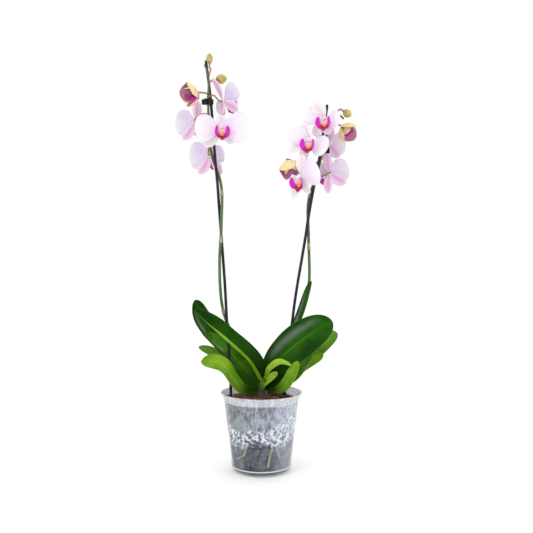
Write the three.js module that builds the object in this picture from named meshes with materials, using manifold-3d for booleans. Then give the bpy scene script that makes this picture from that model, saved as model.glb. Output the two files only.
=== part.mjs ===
// Potted moth orchid: a clear nursery pot filled with bark, a short crown with roots and leaves, and two
// flower spikes tied to stakes. Millimetres, +Z up. The origin is the centre of the pot's base, the viewer
// stands at -Y and +X is to the viewer's right.
import * as THREE from 'three';
import { mergeVertices } from 'three/addons/utils/BufferGeometryUtils.js';
import Module from 'manifold-3d';

const wasm = await Module();
wasm.setup();

// ---- driving dimensions -------------------------------------------------------------------------------
const GAP = 0.3; // clear space between neighbouring pieces
const POT = {
  height: 115, rimRadius: 60, neckRadius: 55, footRadius: 43.5, floorRadius: 40, wall: 1.2, floor: 2.4,
  lip: 1.5, sides: 28, footHeight: 7, lipHeight: 11, ringDepth: 0.7,
  drains: 8, drainRadius: 4, drainOrbit: 30,
};
const BARK = { level: 103, mound: 5, rings: 3, chips: 8, chipSize: [12, 20], seed: 11 };
const CROWN = { radius: 8.5, bottom: 92, top: 130, sides: 8, roots: 1.9, rootSides: 5, rootSteps: 9 };
const STAKE = { radius: 2.1, sides: 6, steps: 12, sunk: 62 };
const SPIKE = { stem: 2.2, stemSteps: 19, tip: 1.7, tipSteps: 8, sides: 6 };
const PEDICEL = { radius: 1.35, sides: 5, steps: 3, back: 2.2, run: 5 };
const CLIP = { height: 8 };
const LEAF = { thickness: 1.5, rows: 7, columns: 2 };
const PETAL = { thickness: 0.9, rows: 5, columns: 2 };
const SEPAL = { thickness: 0.9, rows: 3, columns: 2 };
const LIP = { thickness: 1.1, rows: 6, columns: 4, width: 30, small: 0.62 };
const COLUMN = { radius: 2.4, length: 9 };
const HEART = { radius: 4.2, depth: 4.4, sides: 6, start: 2.8, layer: 0.75 };

const COLOURS = {
  pot: ['#c9ccd2', 0.25], bark: ['#5c3620', 0.95], crown: ['#6f8a45', 0.6], leaf: ['#2f6420', 0.35],
  young: ['#7ba53c', 0.4], spike: ['#5d7437', 0.5], stake: ['#241f2c', 0.45], clip: ['#17151c', 0.4],
  petal: ['#f3dfeb', 0.55], lip: ['#b8148f', 0.45], hood: ['#eadfae', 0.5], bud: ['#bda653', 0.5],
};

// ---- solids -------------------------------------------------------------------------------------------
const vec = (point) => new THREE.Vector3(...point);

function toSolid(geometry) {
  const bare = geometry.clone();
  bare.deleteAttribute('normal');
  bare.deleteAttribute('uv');
  const merged = mergeVertices(bare, 1e-4);
  return new wasm.Manifold(new wasm.Mesh({
    numProp: 3,
    vertProperties: new Float32Array(merged.attributes.position.array),
    triVerts: new Uint32Array(merged.index.array),
  }));
}

function toGeometry(solid) {
  const mesh = solid.getMesh();
  const geometry = new THREE.BufferGeometry();
  geometry.setAttribute('position', new THREE.BufferAttribute(new Float32Array(mesh.vertProperties), 3));
  geometry.setIndex(new THREE.BufferAttribute(new Uint32Array(mesh.triVerts), 1));
  geometry.computeVertexNormals();
  return geometry;
}

const fuse = (solids) => solids.reduce((all, next) => all.add(next));
const carve = (solid, cutters) => cutters.reduce((rest, cutter) => rest.subtract(cutter), solid);

// the biggest of the bodies that a cut leaves
function mainBody(solid) {
  const bodies = solid.decompose();
  return bodies.reduce((best, body) => (body.volume() > best.volume() ? body : best));
}

function piece(name, solid, [color, roughness]) {
  const mesh = new THREE.Mesh(toGeometry(solid), new THREE.MeshStandardMaterial({ color, roughness }));
  mesh.name = name;
  return mesh;
}

// repeatable random numbers from 0 to 1
function makeRandom(seed) {
  let state = seed;
  return () => {
    state = (state * 1664525 + 1013904223) % 4294967296;
    return state / 4294967296;
  };
}

// ---- basic shapes -------------------------------------------------------------------------------------
function tube(points, radius, sides, steps) {
  const path = new THREE.CatmullRomCurve3(points.map(vec), false, 'centripetal');
  const section = new THREE.Shape();
  for (let i = 0; i < sides; i += 1) {
    const angle = (2 * Math.PI * i) / sides;
    section[i ? 'lineTo' : 'moveTo'](radius * Math.cos(angle), radius * Math.sin(angle));
  }
  return toSolid(new THREE.ExtrudeGeometry(section, { steps, extrudePath: path, bevelEnabled: false }));
}

// an oval body round a point, its long axis along a direction
function oval(centre, direction, radius, length, sides = 8, rings = 6) {
  const geometry = new THREE.SphereGeometry(1, sides, rings).scale(radius, length / 2, radius);
  geometry.applyQuaternion(new THREE.Quaternion().setFromUnitVectors(new THREE.Vector3(0, 1, 0),
    vec(direction).normalize()));
  return toSolid(geometry.translate(...centre));
}

// right, up and front of a bloom as a turn from its own axes to the plant's
function turnTo(face, up) {
  const front = vec(face).normalize();
  const right = vec(up).cross(front).normalize();
  return new THREE.Matrix4().makeBasis(right, front.clone().cross(right), front);
}

// ---- blades: leaves, petals and sepals -----------------------------------------------------------
// half-widths along a blade, from its foot (0) to its tip (1), as shares of its widest half
const OUTLINES = {
  leaf: { foot: 0.34, widest: 0.6, tip: 0.26 },
  petal: { foot: 0.12, widest: 0.55, tip: 0.4 },
  sepal: { foot: 0.24, widest: 0.5, tip: 0.2 },
};

function halfWidth({ foot, widest, tip }, s) {
  if (s < widest) return foot + (1 - foot) * Math.sin((s / widest) * (Math.PI / 2));
  return tip + (1 - tip) * Math.sqrt(Math.max(0, 1 - ((s - widest) / (1 - widest)) ** 2));
}

// A blade follows the spine; t runs from -1 to 1 across it. The fold lifts both halves to the front like
// an open book, the cup bends them like a bowl and the wave ripples their edges.
function bladeSurface({ spine, across, width, outline, fold = 0, cup = 0, wave = 0, grow = 0, ...own }) {
  const path = new THREE.CatmullRomCurve3(spine.map(vec), false, 'centripetal');
  const first = vec(across[0]);
  const last = vec(across[across.length - 1]);
  const form = { ...OUTLINES[outline], ...own };
  return (s, t) => {
    const along = THREE.MathUtils.clamp(s, 0, 1);
    const tangent = path.getTangentAt(along);
    const side = first.clone().lerp(last, along);
    side.addScaledVector(tangent, -side.dot(tangent)).normalize();
    const front = side.clone().cross(tangent);
    const half = (width / 2) * halfWidth(form, along) + grow;
    const ripple = wave * t * t * Math.sin(along * 9.4 + (t > 0 ? 0.6 : 2.4));
    const lift = half * (Math.abs(t) * Math.sin(fold) + cup * t * t) + ripple;
    return path.getPointAt(along)
      .addScaledVector(tangent, grow * (2 * along - 1))
      .addScaledVector(side, half * t * Math.cos(fold))
      .addScaledVector(front, lift);
  };
}

// closed sheet of even thickness over a surface; both faces are split along the same diagonals
function sheet(surface, { thickness, rows, columns }) {
  const plane = new THREE.PlaneGeometry(2, 1, columns, rows);
  const grid = plane.attributes.position;
  const front = Array.from(plane.index.array);
  const points = [];
  const step = 0.02;
  for (const face of [0.5, -0.5]) {
    for (let i = 0; i < grid.count; i += 1) {
      const s = easeEnds(grid.getY(i) + 0.5);
      const t = grid.getX(i);
      const low = THREE.MathUtils.clamp(s, step, 1 - step);
      const lean = THREE.MathUtils.clamp(t, -1 + step, 1 - step);
      const normal = surface(s, lean + step).sub(surface(s, lean - step))
        .cross(surface(low + step, t).sub(surface(low - step, t))).normalize();
      points.push(...surface(s, t).addScaledVector(normal, thickness * face).toArray());
    }
  }
  const faces = [...front];
  for (let i = 0; i < front.length; i += 3) {
    faces.push(front[i + 2] + grid.count, front[i + 1] + grid.count, front[i] + grid.count);
  }
  for (const [a, b] of openEdges(front)) faces.push(b, a, a + grid.count, b, a + grid.count, b + grid.count);
  const geometry = new THREE.BufferGeometry();
  geometry.setAttribute('position', new THREE.BufferAttribute(new Float32Array(points), 3));
  geometry.setIndex(faces);
  return toSolid(geometry);
}

// rows lie closer together towards the round ends of a blade
const easeEnds = (s) => s - 0.07 * Math.sin(2 * Math.PI * s);

function openEdges(faces) {
  const edges = new Map();
  for (let i = 0; i < faces.length; i += 3) {
    for (let k = 0; k < 3; k += 1) {
      const [a, b] = [faces[i + k], faces[i + ((k + 1) % 3)]];
      if (!edges.delete(`${b},${a}`)) edges.set(`${a},${b}`, [a, b]);
    }
  }
  return edges.values();
}

const blade = (shape, size) => sheet(bladeSurface(shape), size);
const widerBlade = (shape, size) => sheet(bladeSurface({ ...shape, grow: GAP }),
  { ...size, thickness: size.thickness + 2 * GAP });

// ---- pot and bark -------------------------------------------------------------------------------------
function lathe(profile, sides) {
  const geometry = new THREE.LatheGeometry(profile.map(([r, z]) => new THREE.Vector2(r, z)), sides);
  return toSolid(geometry.rotateX(Math.PI / 2));
}

// radius of the pot's outer wall at a height above the foot
const wallRadius = (z) => POT.footRadius + ((POT.neckRadius - POT.footRadius) * (z - POT.footHeight))
  / (POT.height - POT.lipHeight - POT.footHeight);

function potSolid() {
  const { height, rimRadius, neckRadius, footRadius, floorRadius, wall, floor, lip, footHeight } = POT;
  const neck = height - POT.lipHeight;
  const ring = POT.ringDepth;
  const outside = [
    [0, 0], [floorRadius, 0], [footRadius - 0.9, footHeight - 3.5],
    [footRadius, footHeight], [neckRadius, neck], [neckRadius + ring, neck + 1],
    [neckRadius + 0.3, neck + 2.2], [neckRadius + ring + 0.4, neck + 3.4], [rimRadius - 0.5, height - lip],
    [rimRadius, height - lip / 2], [rimRadius - 0.6, height],
  ];
  const inside = [
    [rimRadius - 2.2, height], [neckRadius + 1.6 - wall, neck + 3.6], [neckRadius - wall, neck],
    [footRadius - wall, footHeight + 0.5], [footRadius - wall - 2, floor], [0, floor],
  ];
  const body = lathe([...outside, ...inside], POT.sides);
  const drains = [];
  for (let i = 0; i < POT.drains; i += 1) {
    const angle = (2 * Math.PI * (i + 0.5)) / POT.drains;
    const hole = new THREE.CylinderGeometry(POT.drainRadius, POT.drainRadius, 3 * floor, 8);
    hole.rotateX(Math.PI / 2).translate(POT.drainOrbit, 0, 0).rotateZ(angle);
    drains.push(toSolid(hole));
  }
  return carve(body, drains);
}

// bark chips: small slabs that lie askew on the mound
function barkChips() {
  const random = makeRandom(BARK.seed);
  const chips = [];
  for (let i = 0; i < BARK.chips; i += 1) {
    const ring = 14 + 32 * Math.sqrt(random());
    const angle = i * 2.39996;
    const long = THREE.MathUtils.lerp(...BARK.chipSize, random());
    const chip = new THREE.BoxGeometry(long, long * 0.55, 4.5);
    chip.rotateX((random() - 0.5) * 0.9).rotateY((random() - 0.5) * 0.9).rotateZ(random() * 6.3);
    chip.translate(ring * Math.cos(angle), ring * Math.sin(angle), moundHeight(ring) + 0.8);
    chips.push(toSolid(chip));
  }
  return chips;
}

const moundHeight = (r) => BARK.level + BARK.mound * Math.cos((Math.PI / 2) * Math.min(1, r / 52));

function barkSolid(cutters) {
  const skin = POT.wall + GAP;
  const top = [];
  for (let i = BARK.rings; i > 0; i -= 1) {
    const r = ((wallRadius(BARK.level) - skin) * i) / BARK.rings;
    top.push([r, moundHeight(r) + (i % 2 ? 0 : -1.2)]);
  }
  const floor = POT.floor + GAP;
  const profile = [
    [0, floor], [POT.footRadius - POT.wall - 2.4, floor], [POT.footRadius - skin, POT.footHeight + 0.8],
    ...top, [0, moundHeight(0)],
  ];
  return mainBody(carve(fuse([lathe(profile, POT.sides), ...barkChips()]), cutters));
}

// ---- crown and roots ----------------------------------------------------------------------------------
// each root leaves the crown and dives to the wall; then come its stations along the wall, as bearing and height
const ROOTS = [
  [[-66, 62], [-60, 43], [-51, 24]],
  [[-69, 50], [-73, 32], [-77, 14]],
  [[-164, 42], [-140, 43], [-120, 42], [-124, 32], [-146, 22]],
  [[-12, 40], [-30, 30], [-46, 26]],
  [[95, 60], [109, 38], [102, 16]],
];

function rootLine(stations, radius) {
  const at = (r, degrees, z) => {
    const angle = THREE.MathUtils.degToRad(degrees);
    return [r * Math.cos(angle), r * Math.sin(angle), z];
  };
  const wallAt = (z) => (wallRadius(z) - POT.wall - GAP) * 0.985 - radius - 0.6;
  const [bearing, top] = stations[0];
  return [at(3, bearing, CROWN.bottom + 6), at(14, bearing, 88), at(30, bearing, top + 16),
    ...stations.map(([degrees, z]) => at(wallAt(z), degrees, z))];
}

function crownParts(spare) {
  const stem = new THREE.CylinderGeometry(CROWN.radius * 0.55 + spare, CROWN.radius + spare,
    CROWN.top - CROWN.bottom + 2 * spare, CROWN.sides, 3);
  stem.rotateX(Math.PI / 2).translate(0, 0, (CROWN.top + CROWN.bottom) / 2);
  const roots = ROOTS.map((root) => tube(rootLine(root, CROWN.roots), CROWN.roots + spare, CROWN.rootSides,
    CROWN.rootSteps));
  return [toSolid(stem), ...roots];
}

// ---- leaves, listed from the ones that keep their whole form to the ones that give way ------------------
const LEAVES = [
  { name: 'leaf_left_fold', width: 44, fold: 0.75, foot: 0.8, widest: 0.32, young: false,
    across: [[0.23, 0.94, 0.23], [0.4, 0.82, 0.4]],
    spine: [[-4, -5, 133], [-16.5, -13, 160], [-32, -19, 177], [-49.5, -22, 193], [-68, -23, 210],
      [-95.5, -22, 237]] },
  { name: 'leaf_right_broad', width: 55, fold: 0.24, young: false, across: [[0.56, -0.35, -0.74]],
    spine: [[3, -3, 128], [22.5, -8, 160], [41.5, -9, 178], [62, -10, 194], [82, -10, 208],
      [103, -9, 220]] },
  { name: 'leaf_right_upright', width: 32, fold: 0.35, young: false,
    across: [[-0.2, -0.8, -0.3], [0.4, -0.8, -0.1]],
    spine: [[4, 5, 126], [33, 17, 165], [51, 20, 200], [64, 18, 234], [74, 14, 277]] },
  { name: 'leaf_left_back', width: 34, fold: 0.25, widest: 0.72, tip: 0.4, young: false,
    across: [[0.4, 0.85, 0.4], [0.65, 0.65, 0.5]],
    spine: [[-4, 6, 124], [-24, 22, 143], [-53, 31, 170], [-76.5, 33, 197], [-92, 31, 221],
      [-99.5, 27, 248]] },
  { name: 'leaf_right_back', width: 44, fold: 0.25, young: true, across: [[0.3, -0.55, -0.75]],
    spine: [[4, 5, 122], [42, 33, 144], [70, 38, 165], [93, 38, 183], [115, 36, 197]] },
  { name: 'leaf_left_middle', width: 40, fold: 0.25, foot: 0.6, widest: 0.35, young: false,
    across: [[0.62, 0.35, 0.7], [0.2, 0.92, 0.3]],
    spine: [[-3, -1, 121], [-17, 2, 138], [-31, 5, 154], [-50, 9, 175], [-69, 10, 188], [-88, 10, 201]] },
  { name: 'leaf_left_low', width: 27, fold: 0.3, foot: 0.5, widest: 0.78, young: true,
    across: [[0.45, 0.45, 0.7], [0.1, 0.7, 0.65]],
    spine: [[-6, -6, 116], [-29, -18, 123], [-43, -25, 140], [-57, -28, 158.5], [-86, -28, 164]] },
  { name: 'leaf_left_small', width: 24, fold: 0.3, young: true, across: [[0.3, 0.8, 0.5]],
    spine: [[-4, 4, 116], [-28, 21, 130], [-50.5, 29, 149], [-74.5, 31, 167], [-95, 30, 177]] },
  { name: 'leaf_right_bright', width: 18, fold: 0.35, young: true,
    across: [[0.55, -0.45, -0.5], [0.75, -0.35, -0.5]],
    spine: [[9, -7, 117], [25, -17, 121.5], [36, -23, 130], [44, -25, 145], [53, -24, 163.5]] },
  { name: 'leaf_right_young', width: 15, fold: 0.6, young: true, across: [[0.3, -0.8, -0.5]],
    spine: [[5, -10, 130], [11, -18, 148], [25.5, -24, 160], [43, -27, 157.5]] },
  { name: 'leaf_right_round', width: 32, fold: 0.3, young: true, across: [[0.2, -0.55, -0.7]],
    spine: [[4, 2, 118], [42, 20, 138], [69, 16, 157], [92, 13, 167]] },
  { name: 'leaf_right_pale', width: 31, fold: 0.3, young: true, across: [[0.5, -0.6, -0.6]],
    spine: [[11, -3, 120], [38, -4, 135], [56, -5, 153], [66, -5, 166], [74, -4, 179]] },
  { name: 'leaf_right_inner', width: 17, fold: 0.3, young: false, across: [[0.5, -0.6, -0.5]],
    spine: [[10.5, -6, 126], [23, -11, 136], [37, -12, 149]] },
  { name: 'leaf_front_small', width: 13, fold: 0.3, foot: 0.8, young: true, across: [[0.5, -0.5, -0.6]],
    spine: [[1, -4, 123], [4, -12, 130], [11, -18, 137], [23.5, -21, 147]] },
];

function leafMeshes(cutters) {
  const taken = [...cutters];
  return LEAVES.map((leaf) => {
    const shape = { ...leaf, outline: 'leaf', wave: leaf.width * 0.03 };
    const size = { ...LEAF, rows: leaf.width > 30 ? LEAF.rows : LEAF.rows - 1 };
    const solid = mainBody(carve(blade(shape, size), taken));
    taken.push(widerBlade(shape, size));
    return piece(leaf.name, solid, leaf.young ? COLOURS.young : COLOURS.leaf);
  });
}

// ---- stakes, spikes and clips --------------------------------------------------------------------------
const SPRAYS = {
  left: {
    stake: [[-44.5, -8, 114], [-46, -7.2, 154], [-48.2, -6.4, 191], [-50.6, -5.7, 226], [-53, -4.8, 271],
      [-56.1, -3.9, 314], [-61.2, -2.5, 381], [-63.8, -1.7, 418], [-67.6, -0.8, 459], [-74, 0.9, 544],
      [-80.6, 2, 597]],
    stem: [[-3, 5, 119], [-17, 19, 150], [-36, 16, 185], [-52, 4, 220], [-57.8, -1, 244], [-60.5, -3.6, 277.6],
      [-60.8, -5, 298], [-60.6, -7, 313.5], [-58.5, -9, 343], [-57.6, -8.3, 371], [-57.1, -5, 396],
      [-58.2, -0.2, 414], [-61.4, 3.7, 429], [-66.6, 4.4, 443.5], [-71.1, 4.2, 456.5], [-75, 2, 473.6]],
    rachis: [[-75, 2, 473.6], [-76.6, 0, 498], [-77, -3, 526.5], [-76.9, -4.6, 548], [-76.2, -4.9, 562],
      [-76.8, -4.6, 576.7], [-79.5, -4.2, 585.5], [-82.5, -4, 591.5]],
    nodes: [0.34, 0.62, 0.8],
    pedicels: [[[-76, 0.5, 500], [-66, -9, 506]], [[-76.6, -2, 520], [-86, 0, 521]],
      [[-76.9, -4.6, 545], [-68, -13, 545]], [[-75.6, 1, 484], [-77, 6, 478]],
      [[-77, -4.6, 549], [-79, -4, 550]], [[-76.6, -4.7, 576], [-73, -5, 585]],
      [[-76.2, -4.8, 566], [-68, -2, 570]]],
  },
  right: {
    stake: [[34.2, 9, 118], [45.7, 5, 220], [49.4, 3.5, 249.5], [53.3, 2.5, 275], [58.4, 1.5, 305],
      [65, 0.5, 345], [68.3, 0, 368], [76, 0, 412], [83.6, 0, 450.7], [89.7, 0, 489.5], [95.7, 0, 532.5]],
    stem: [[3, 5, 119], [20, 22, 150], [39, 30, 184], [55, 32, 217], [66, 28, 248], [70.9, 21, 274],
      [71.3, 16, 290], [70.6, 11.5, 312], [69.6, 7.6, 333], [69.2, 6.4, 349.5], [68.6, 5.8, 365.5],
      [68, 5.2, 379], [69.4, 5, 396], [72.4, 5, 408], [78, 5.2, 424], [83, 5.1, 440]],
    rachis: [[83, 5.1, 440], [87.2, 5, 457.5], [91.5, 4, 473.5], [95, 2.4, 489], [98, 1, 498], [102, 0, 505],
      [110.2, 0, 515], [114, 0, 518.6], [117.2, 0, 516.8], [120, 0, 513.4]],
    nodes: [0.42, 0.66, 0.88],
    pedicels: [[[98, 1, 499], [98, -7, 505]], [[92, 3.5, 476], [95, -5, 481], [80, -15, 481]],
      [[83, 5, 442], [76, 6, 441], [68, -8, 436]], [[94, 2.8, 484], [98, 8, 484]],
      [[82, 5.1, 437], [88, 3, 431]], [[86, 5, 452], [74, 7, 452], [56, 3, 455]],
      [[104, 0, 508], [108, 1, 506]], [[110.2, 0, 515], [110.8, 0, 522]]],
  },
};

// scale leaf that wraps a joint of the stem
function stemNode(path, share) {
  const point = path.getPointAt(share);
  const tangent = path.getTangentAt(share);
  const at = (distance, out) => point.clone().addScaledVector(tangent, distance)
    .add(vec([0, -out, 0])).toArray();
  return tube([at(-2, 0.2), at(7, 1)], SPIKE.stem * 1.15, 5, 1);
}

function spikeSolid(spray, blooms, cutters) {
  const path = new THREE.CatmullRomCurve3(spray.stem.map(vec), false, 'centripetal');
  const parts = [
    tube(spray.stem, SPIKE.stem, SPIKE.sides, SPIKE.stemSteps),
    tube(spray.rachis, SPIKE.tip, SPIKE.sides, SPIKE.tipSteps),
    ...spray.nodes.map((share) => stemNode(path, share)),
    ...spray.pedicels.map((stalk, i) => tube([...stalk, ...bloomBack(blooms[i])], PEDICEL.radius,
      PEDICEL.sides, PEDICEL.steps)),
  ];
  return mainBody(carve(fuse(parts), cutters));
}

// two points that bring a stalk up to the back of a bloom or to the foot of a bud
function bloomBack({ at, face, length }) {
  const front = vec(face).normalize();
  const back = GAP + (length ? length / 2 : PEDICEL.back);
  const behind = (distance) => vec(at).addScaledVector(front, -distance).toArray();
  return [behind(back + PEDICEL.run), behind(back)];
}

function stakeSolid({ stake }) {
  const foot = [stake[0][0], stake[0][1], stake[0][2] - STAKE.sunk];
  const top = stake[stake.length - 1];
  return fuse([tube([foot, ...stake], STAKE.radius, STAKE.sides, STAKE.steps),
    oval(top, [0, 0, 1], STAKE.radius, 2 * STAKE.radius + 2, STAKE.sides, 4)]);
}

const stakeHole = ({ stake }) => tube([[stake[0][0], stake[0][1], stake[0][2] - STAKE.sunk - GAP], ...stake],
  STAKE.radius + GAP, STAKE.sides, STAKE.steps);
const stemHole = ({ stem, rachis }) => fuse([tube(stem, SPIKE.stem + GAP, SPIKE.sides, SPIKE.stemSteps),
  tube(rachis, SPIKE.tip + GAP, SPIKE.sides, SPIKE.tipSteps)]);

// flat clip round stem and stake with two wing-shaped grips
function clipSolid(centre, turn, cutters) {
  const outline = new THREE.Shape();
  outline.moveTo(4.4, -4).lineTo(5.2, 0).lineTo(4.4, 4).lineTo(-4, 4.6).lineTo(-10.5, 6).lineTo(-9.5, 1)
    .lineTo(-5.5, 0).lineTo(-9.5, -1).lineTo(-10.5, -6).lineTo(-4, -4.6);
  const body = new THREE.ExtrudeGeometry(outline, { depth: CLIP.height, bevelEnabled: false });
  body.translate(0, 0, -CLIP.height / 2).rotateZ(turn).translate(...centre);
  return mainBody(carve(toSolid(body), cutters));
}

// ---- blooms --------------------------------------------------------------------------------------------
// Tips are measured from the bloom's heart, in the plant's own directions. The face points out of the bloom.
const TEPALS = [
  ['dorsal', 'sepal'], ['sepalLeft', 'sepal'], ['sepalRight', 'sepal'],
  ['petalLeft', 'petal'], ['petalRight', 'petal'],
];

const OPEN = { bulge: 0.07, bowl: 0.1, wave: 0.015 };

// A half-open bloom's tepals lean out from the bloom's axis, the petals less than the sepals. Each has its turn
// round that axis, then its width and length as shares of the bloom's.
const CUP = {
  dorsal: [0, 1.3, 0.9], petalRight: [58, 0.7, 0.75], sepalRight: [126, 1.15, 1],
  sepalLeft: [-126, 1.15, 1], petalLeft: [-58, 0.7, 0.75],
};
const CUPPED = { inner: 9, bulge: 0.24, bowl: 0.35 };

function cupTip({ face, up, half }, key, kind) {
  const [degrees, , share] = CUP[key];
  const turn = THREE.MathUtils.degToRad(degrees);
  const lean = THREE.MathUtils.degToRad(half.open - (kind === 'petal' ? CUPPED.inner : 0));
  const length = half.length * share;
  const radial = length * Math.sin(lean);
  return vec([radial * Math.sin(turn), radial * Math.cos(turn), length * Math.cos(lean)])
    .applyMatrix4(turnTo(face, up));
}

function tepal(bloom, [key, kind]) {
  const front = vec(bloom.face).normalize();
  const tip = bloom.half ? cupTip(bloom, key, kind) : vec(bloom[key].slice(0, 3));
  const width = bloom.half ? bloom.half.width * CUP[key][1] : bloom[key][3];
  const length = tip.length();
  const outward = tip.clone().addScaledVector(front, -tip.dot(front)).normalize();
  const bulge = bloom.half ? outward.clone().multiplyScalar(length * CUPPED.bulge)
    : front.clone().multiplyScalar(length * OPEN.bulge);
  const layer = front.clone().multiplyScalar(kind === 'petal' ? HEART.layer : -HEART.layer);
  const root = bloom.half ? outward.clone().setLength(HEART.start) : tip.clone().setLength(HEART.start);
  const spine = [root, tip.clone().multiplyScalar(0.5).add(bulge), tip].map((p) => p.add(layer).toArray());
  return [{
    spine, across: [tip.clone().cross(front).toArray()], width, outline: kind,
    cup: bloom.half ? CUPPED.bowl : OPEN.bowl, wave: kind === 'petal' ? width * OPEN.wave : 0,
  }, kind === 'petal' ? PETAL : SEPAL];
}

function heart(bloom, spare) {
  const turn = turnTo(bloom.face, bloom.up);
  const disc = new THREE.CylinderGeometry(HEART.radius + spare, HEART.radius + spare, HEART.depth + 2 * spare,
    HEART.sides);
  const column = new THREE.CylinderGeometry(COLUMN.radius * 1.15 + spare, COLUMN.radius * 0.85 + spare,
    COLUMN.length + spare, 6);
  column.translate(0, COLUMN.length / 2 + spare / 2, 0);
  return [disc, column].map((shape) => toSolid(shape.rotateX(Math.PI / 2).applyMatrix4(turn)));
}

// Lip in the bloom's own axes: x right, y up, z to the front. One sheet runs from the claw out to the tip;
// its wide first half stands up at both sides as the side lobes, and its far half is the middle lobe.
const LIP_ROWS = [[0, 0.14], [0.18, 0.56], [0.34, 0.92], [0.48, 0.8], [0.62, 0.3], [0.8, 0.36], [1, 0.14]];
const LIP_LINE = [[0, -1, 4.6], [0, -5.6, 5.6], [0, -11, 9.2], [0, -16.5, 8.4], [0, -20, 4.4]];

function lipSurface(s, t) {
  const path = new THREE.CatmullRomCurve3(LIP_LINE.map(vec), false, 'centripetal');
  const above = LIP_ROWS.findIndex(([share]) => share >= s - 1e-6);
  const [from, to] = [LIP_ROWS[Math.max(0, above - 1)], LIP_ROWS[above]];
  const mix = to[0] > from[0] ? (s - from[0]) / (to[0] - from[0]) : 0;
  const half = (LIP.width / 2) * THREE.MathUtils.lerp(from[1], to[1], mix);
  const rise = s < 0.6 ? 1.25 : 0.35;
  const curl = Math.abs(t) * rise;
  const front = vec([0, 1, 0]).lerp(vec([0, 0.4, 1]), s);
  const side = Math.sign(t) * half * (Math.sin(curl) / rise);
  return path.getPointAt(THREE.MathUtils.clamp(s, 0, 1))
    .addScaledVector(vec([1, 0, 0]), side)
    .addScaledVector(front.normalize(), half * ((1 - Math.cos(curl)) / rise));
}

function lipSolid(bloom, scale) {
  const turned = toGeometry(sheet(lipSurface, LIP)).scale(scale, scale, scale);
  turned.applyMatrix4(turnTo(bloom.face, bloom.up));
  return mainBody(carve(toSolid(turned), heart(bloom, GAP)));
}

const BLOOMS = {
  bloom_left_front: { at: [-57, -30, 497], face: [0.2, -0.97, 0.05], up: [0, 0, 1], dorsal: [0, 14, 20, 16],
    petalLeft: [-37.3, 1, -3, 40], petalRight: [38.4, 1, -2, 44], sepalLeft: [-23.5, 7, -26, 20],
    sepalRight: [18, 9, -21, 18] },
  bloom_left_outer: { at: [-97, 22, 514], face: [0.2, 0.96, -0.1], up: [0.05, 0.1, 1],
    dorsal: [1.5, -2, 30.5, 15], petalLeft: [-32, 5, 0, 40], petalRight: [15, 19, 12, 30],
    sepalLeft: [-19, -3, -28, 17], sepalRight: [12, -5, -24, 16] },
  bloom_left_top: { at: [-55, -4, 539], face: [0.7, 0.7, 0.15], up: [-0.42, 0.05, 0.91],
    dorsal: [-15, -5, 32, 12], petalLeft: [-11, 20, -12, 26], petalRight: [18, -14, 20, 31],
    sepalLeft: [-4, -1, -19, 14], sepalRight: [22.5, -17, -17, 17] },
  bloom_left_low: { at: [-76, 20, 464], face: [0.25, 0.96, 0], up: [0, 0, 1],
    dorsal: [-2, -1, 28, 16], petalLeft: [-32, 4, 0, 41], petalRight: [20, 8, 5, 28],
    sepalLeft: [-16, -2, -29, 17], sepalRight: [17, -7, -30, 13] },
  bloom_right_top: { at: [91, -26, 509], face: [-0.3, -0.94, 0.15], up: [0, 0.1, 1],
    dorsal: [-15.5, 3, 25, 20], petalLeft: [-29, 9, 8, 28], petalRight: [20, -7, -4, 28],
    sepalLeft: [-16, 8, -22, 16], sepalRight: [5, 4, -21, 16] },
  bloom_right_middle: { at: [70, -32, 477], face: [-0.35, -0.92, 0.15], up: [0.1, 0.1, 1],
    dorsal: [-10.3, 4, 27, 14], petalLeft: [-28, 10, 14, 28], petalRight: [23, -8, -13, 31],
    sepalLeft: [-31, 7, -13, 15], sepalRight: [-13.5, 5, -29, 15] },
  bloom_right_low: { at: [56, -30, 428], face: [-0.55, -0.78, -0.25], up: [-0.1, -0.2, 1],
    dorsal: [2.5, -6, 30, 17], petalLeft: [-7, 27, -14, 24], petalRight: [26, -11, 8.5, 39],
    sepalLeft: [-11.5, 17, -30, 15], sepalRight: [12, 3, -25, 14] },
  bloom_right_back: { at: [101, 18, 480], face: [0.1, 0.97, 0.1], up: [0, 0, 1],
    dorsal: [0, -2, 27, 15], petalLeft: [-22, 7, 2, 28], petalRight: [25, 7, 1.5, 34],
    sepalLeft: [-11, -1, -24, 15], sepalRight: [14, 0, -20, 16] },
  bloom_right_outer: { at: [99, 6, 436], face: [-0.2, 0.97, 0], up: [0, 0, 1],
    dorsal: [-2, 5, 31, 15], petalLeft: [-20, 12, 6, 28], petalRight: [30.5, 6, 8.5, 34],
    sepalLeft: [-1.5, -3, -30, 14], sepalRight: [25, 2, -15.5, 19] },
  bloom_left_half: { at: [-94.5, -3, 551], face: [-0.68, -0.66, -0.32], up: [-0.5, 0.7, 0.48],
    half: { length: 28, open: 36, width: 25 } },
  bloom_right_half: { at: [37.5, -12, 450.5], face: [0.3, -0.4, -0.86], up: [-0.2, -0.9, 0.4],
    half: { length: 27, open: 31, width: 24 } },
  bloom_right_peach: { at: [117.5, 2, 503], face: [0.6, -0.5, -0.62], up: [0.3, -0.5, 0.8],
    half: { length: 28, open: 32, width: 23 } },
};

const BUDS = {
  bud_left_top: { at: [-74.9, -4.5, 600], face: [0, 0, 1], radius: 5, length: 15 },
  bud_left_side: { at: [-58, 2, 572], face: [1, 0.4, 0.25], radius: 7, length: 17 },
  bud_right: { at: [125, 0, 521.5], face: [0.8, 0, -0.5], radius: 6.2, length: 13.5 },
};

const CLIPS = {
  left: { centre: [-75.2, -1.2, 538], turn: 0.5 },
  right: { centre: [88.3, 1.8, 468], turn: 2.6 },
};

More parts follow.
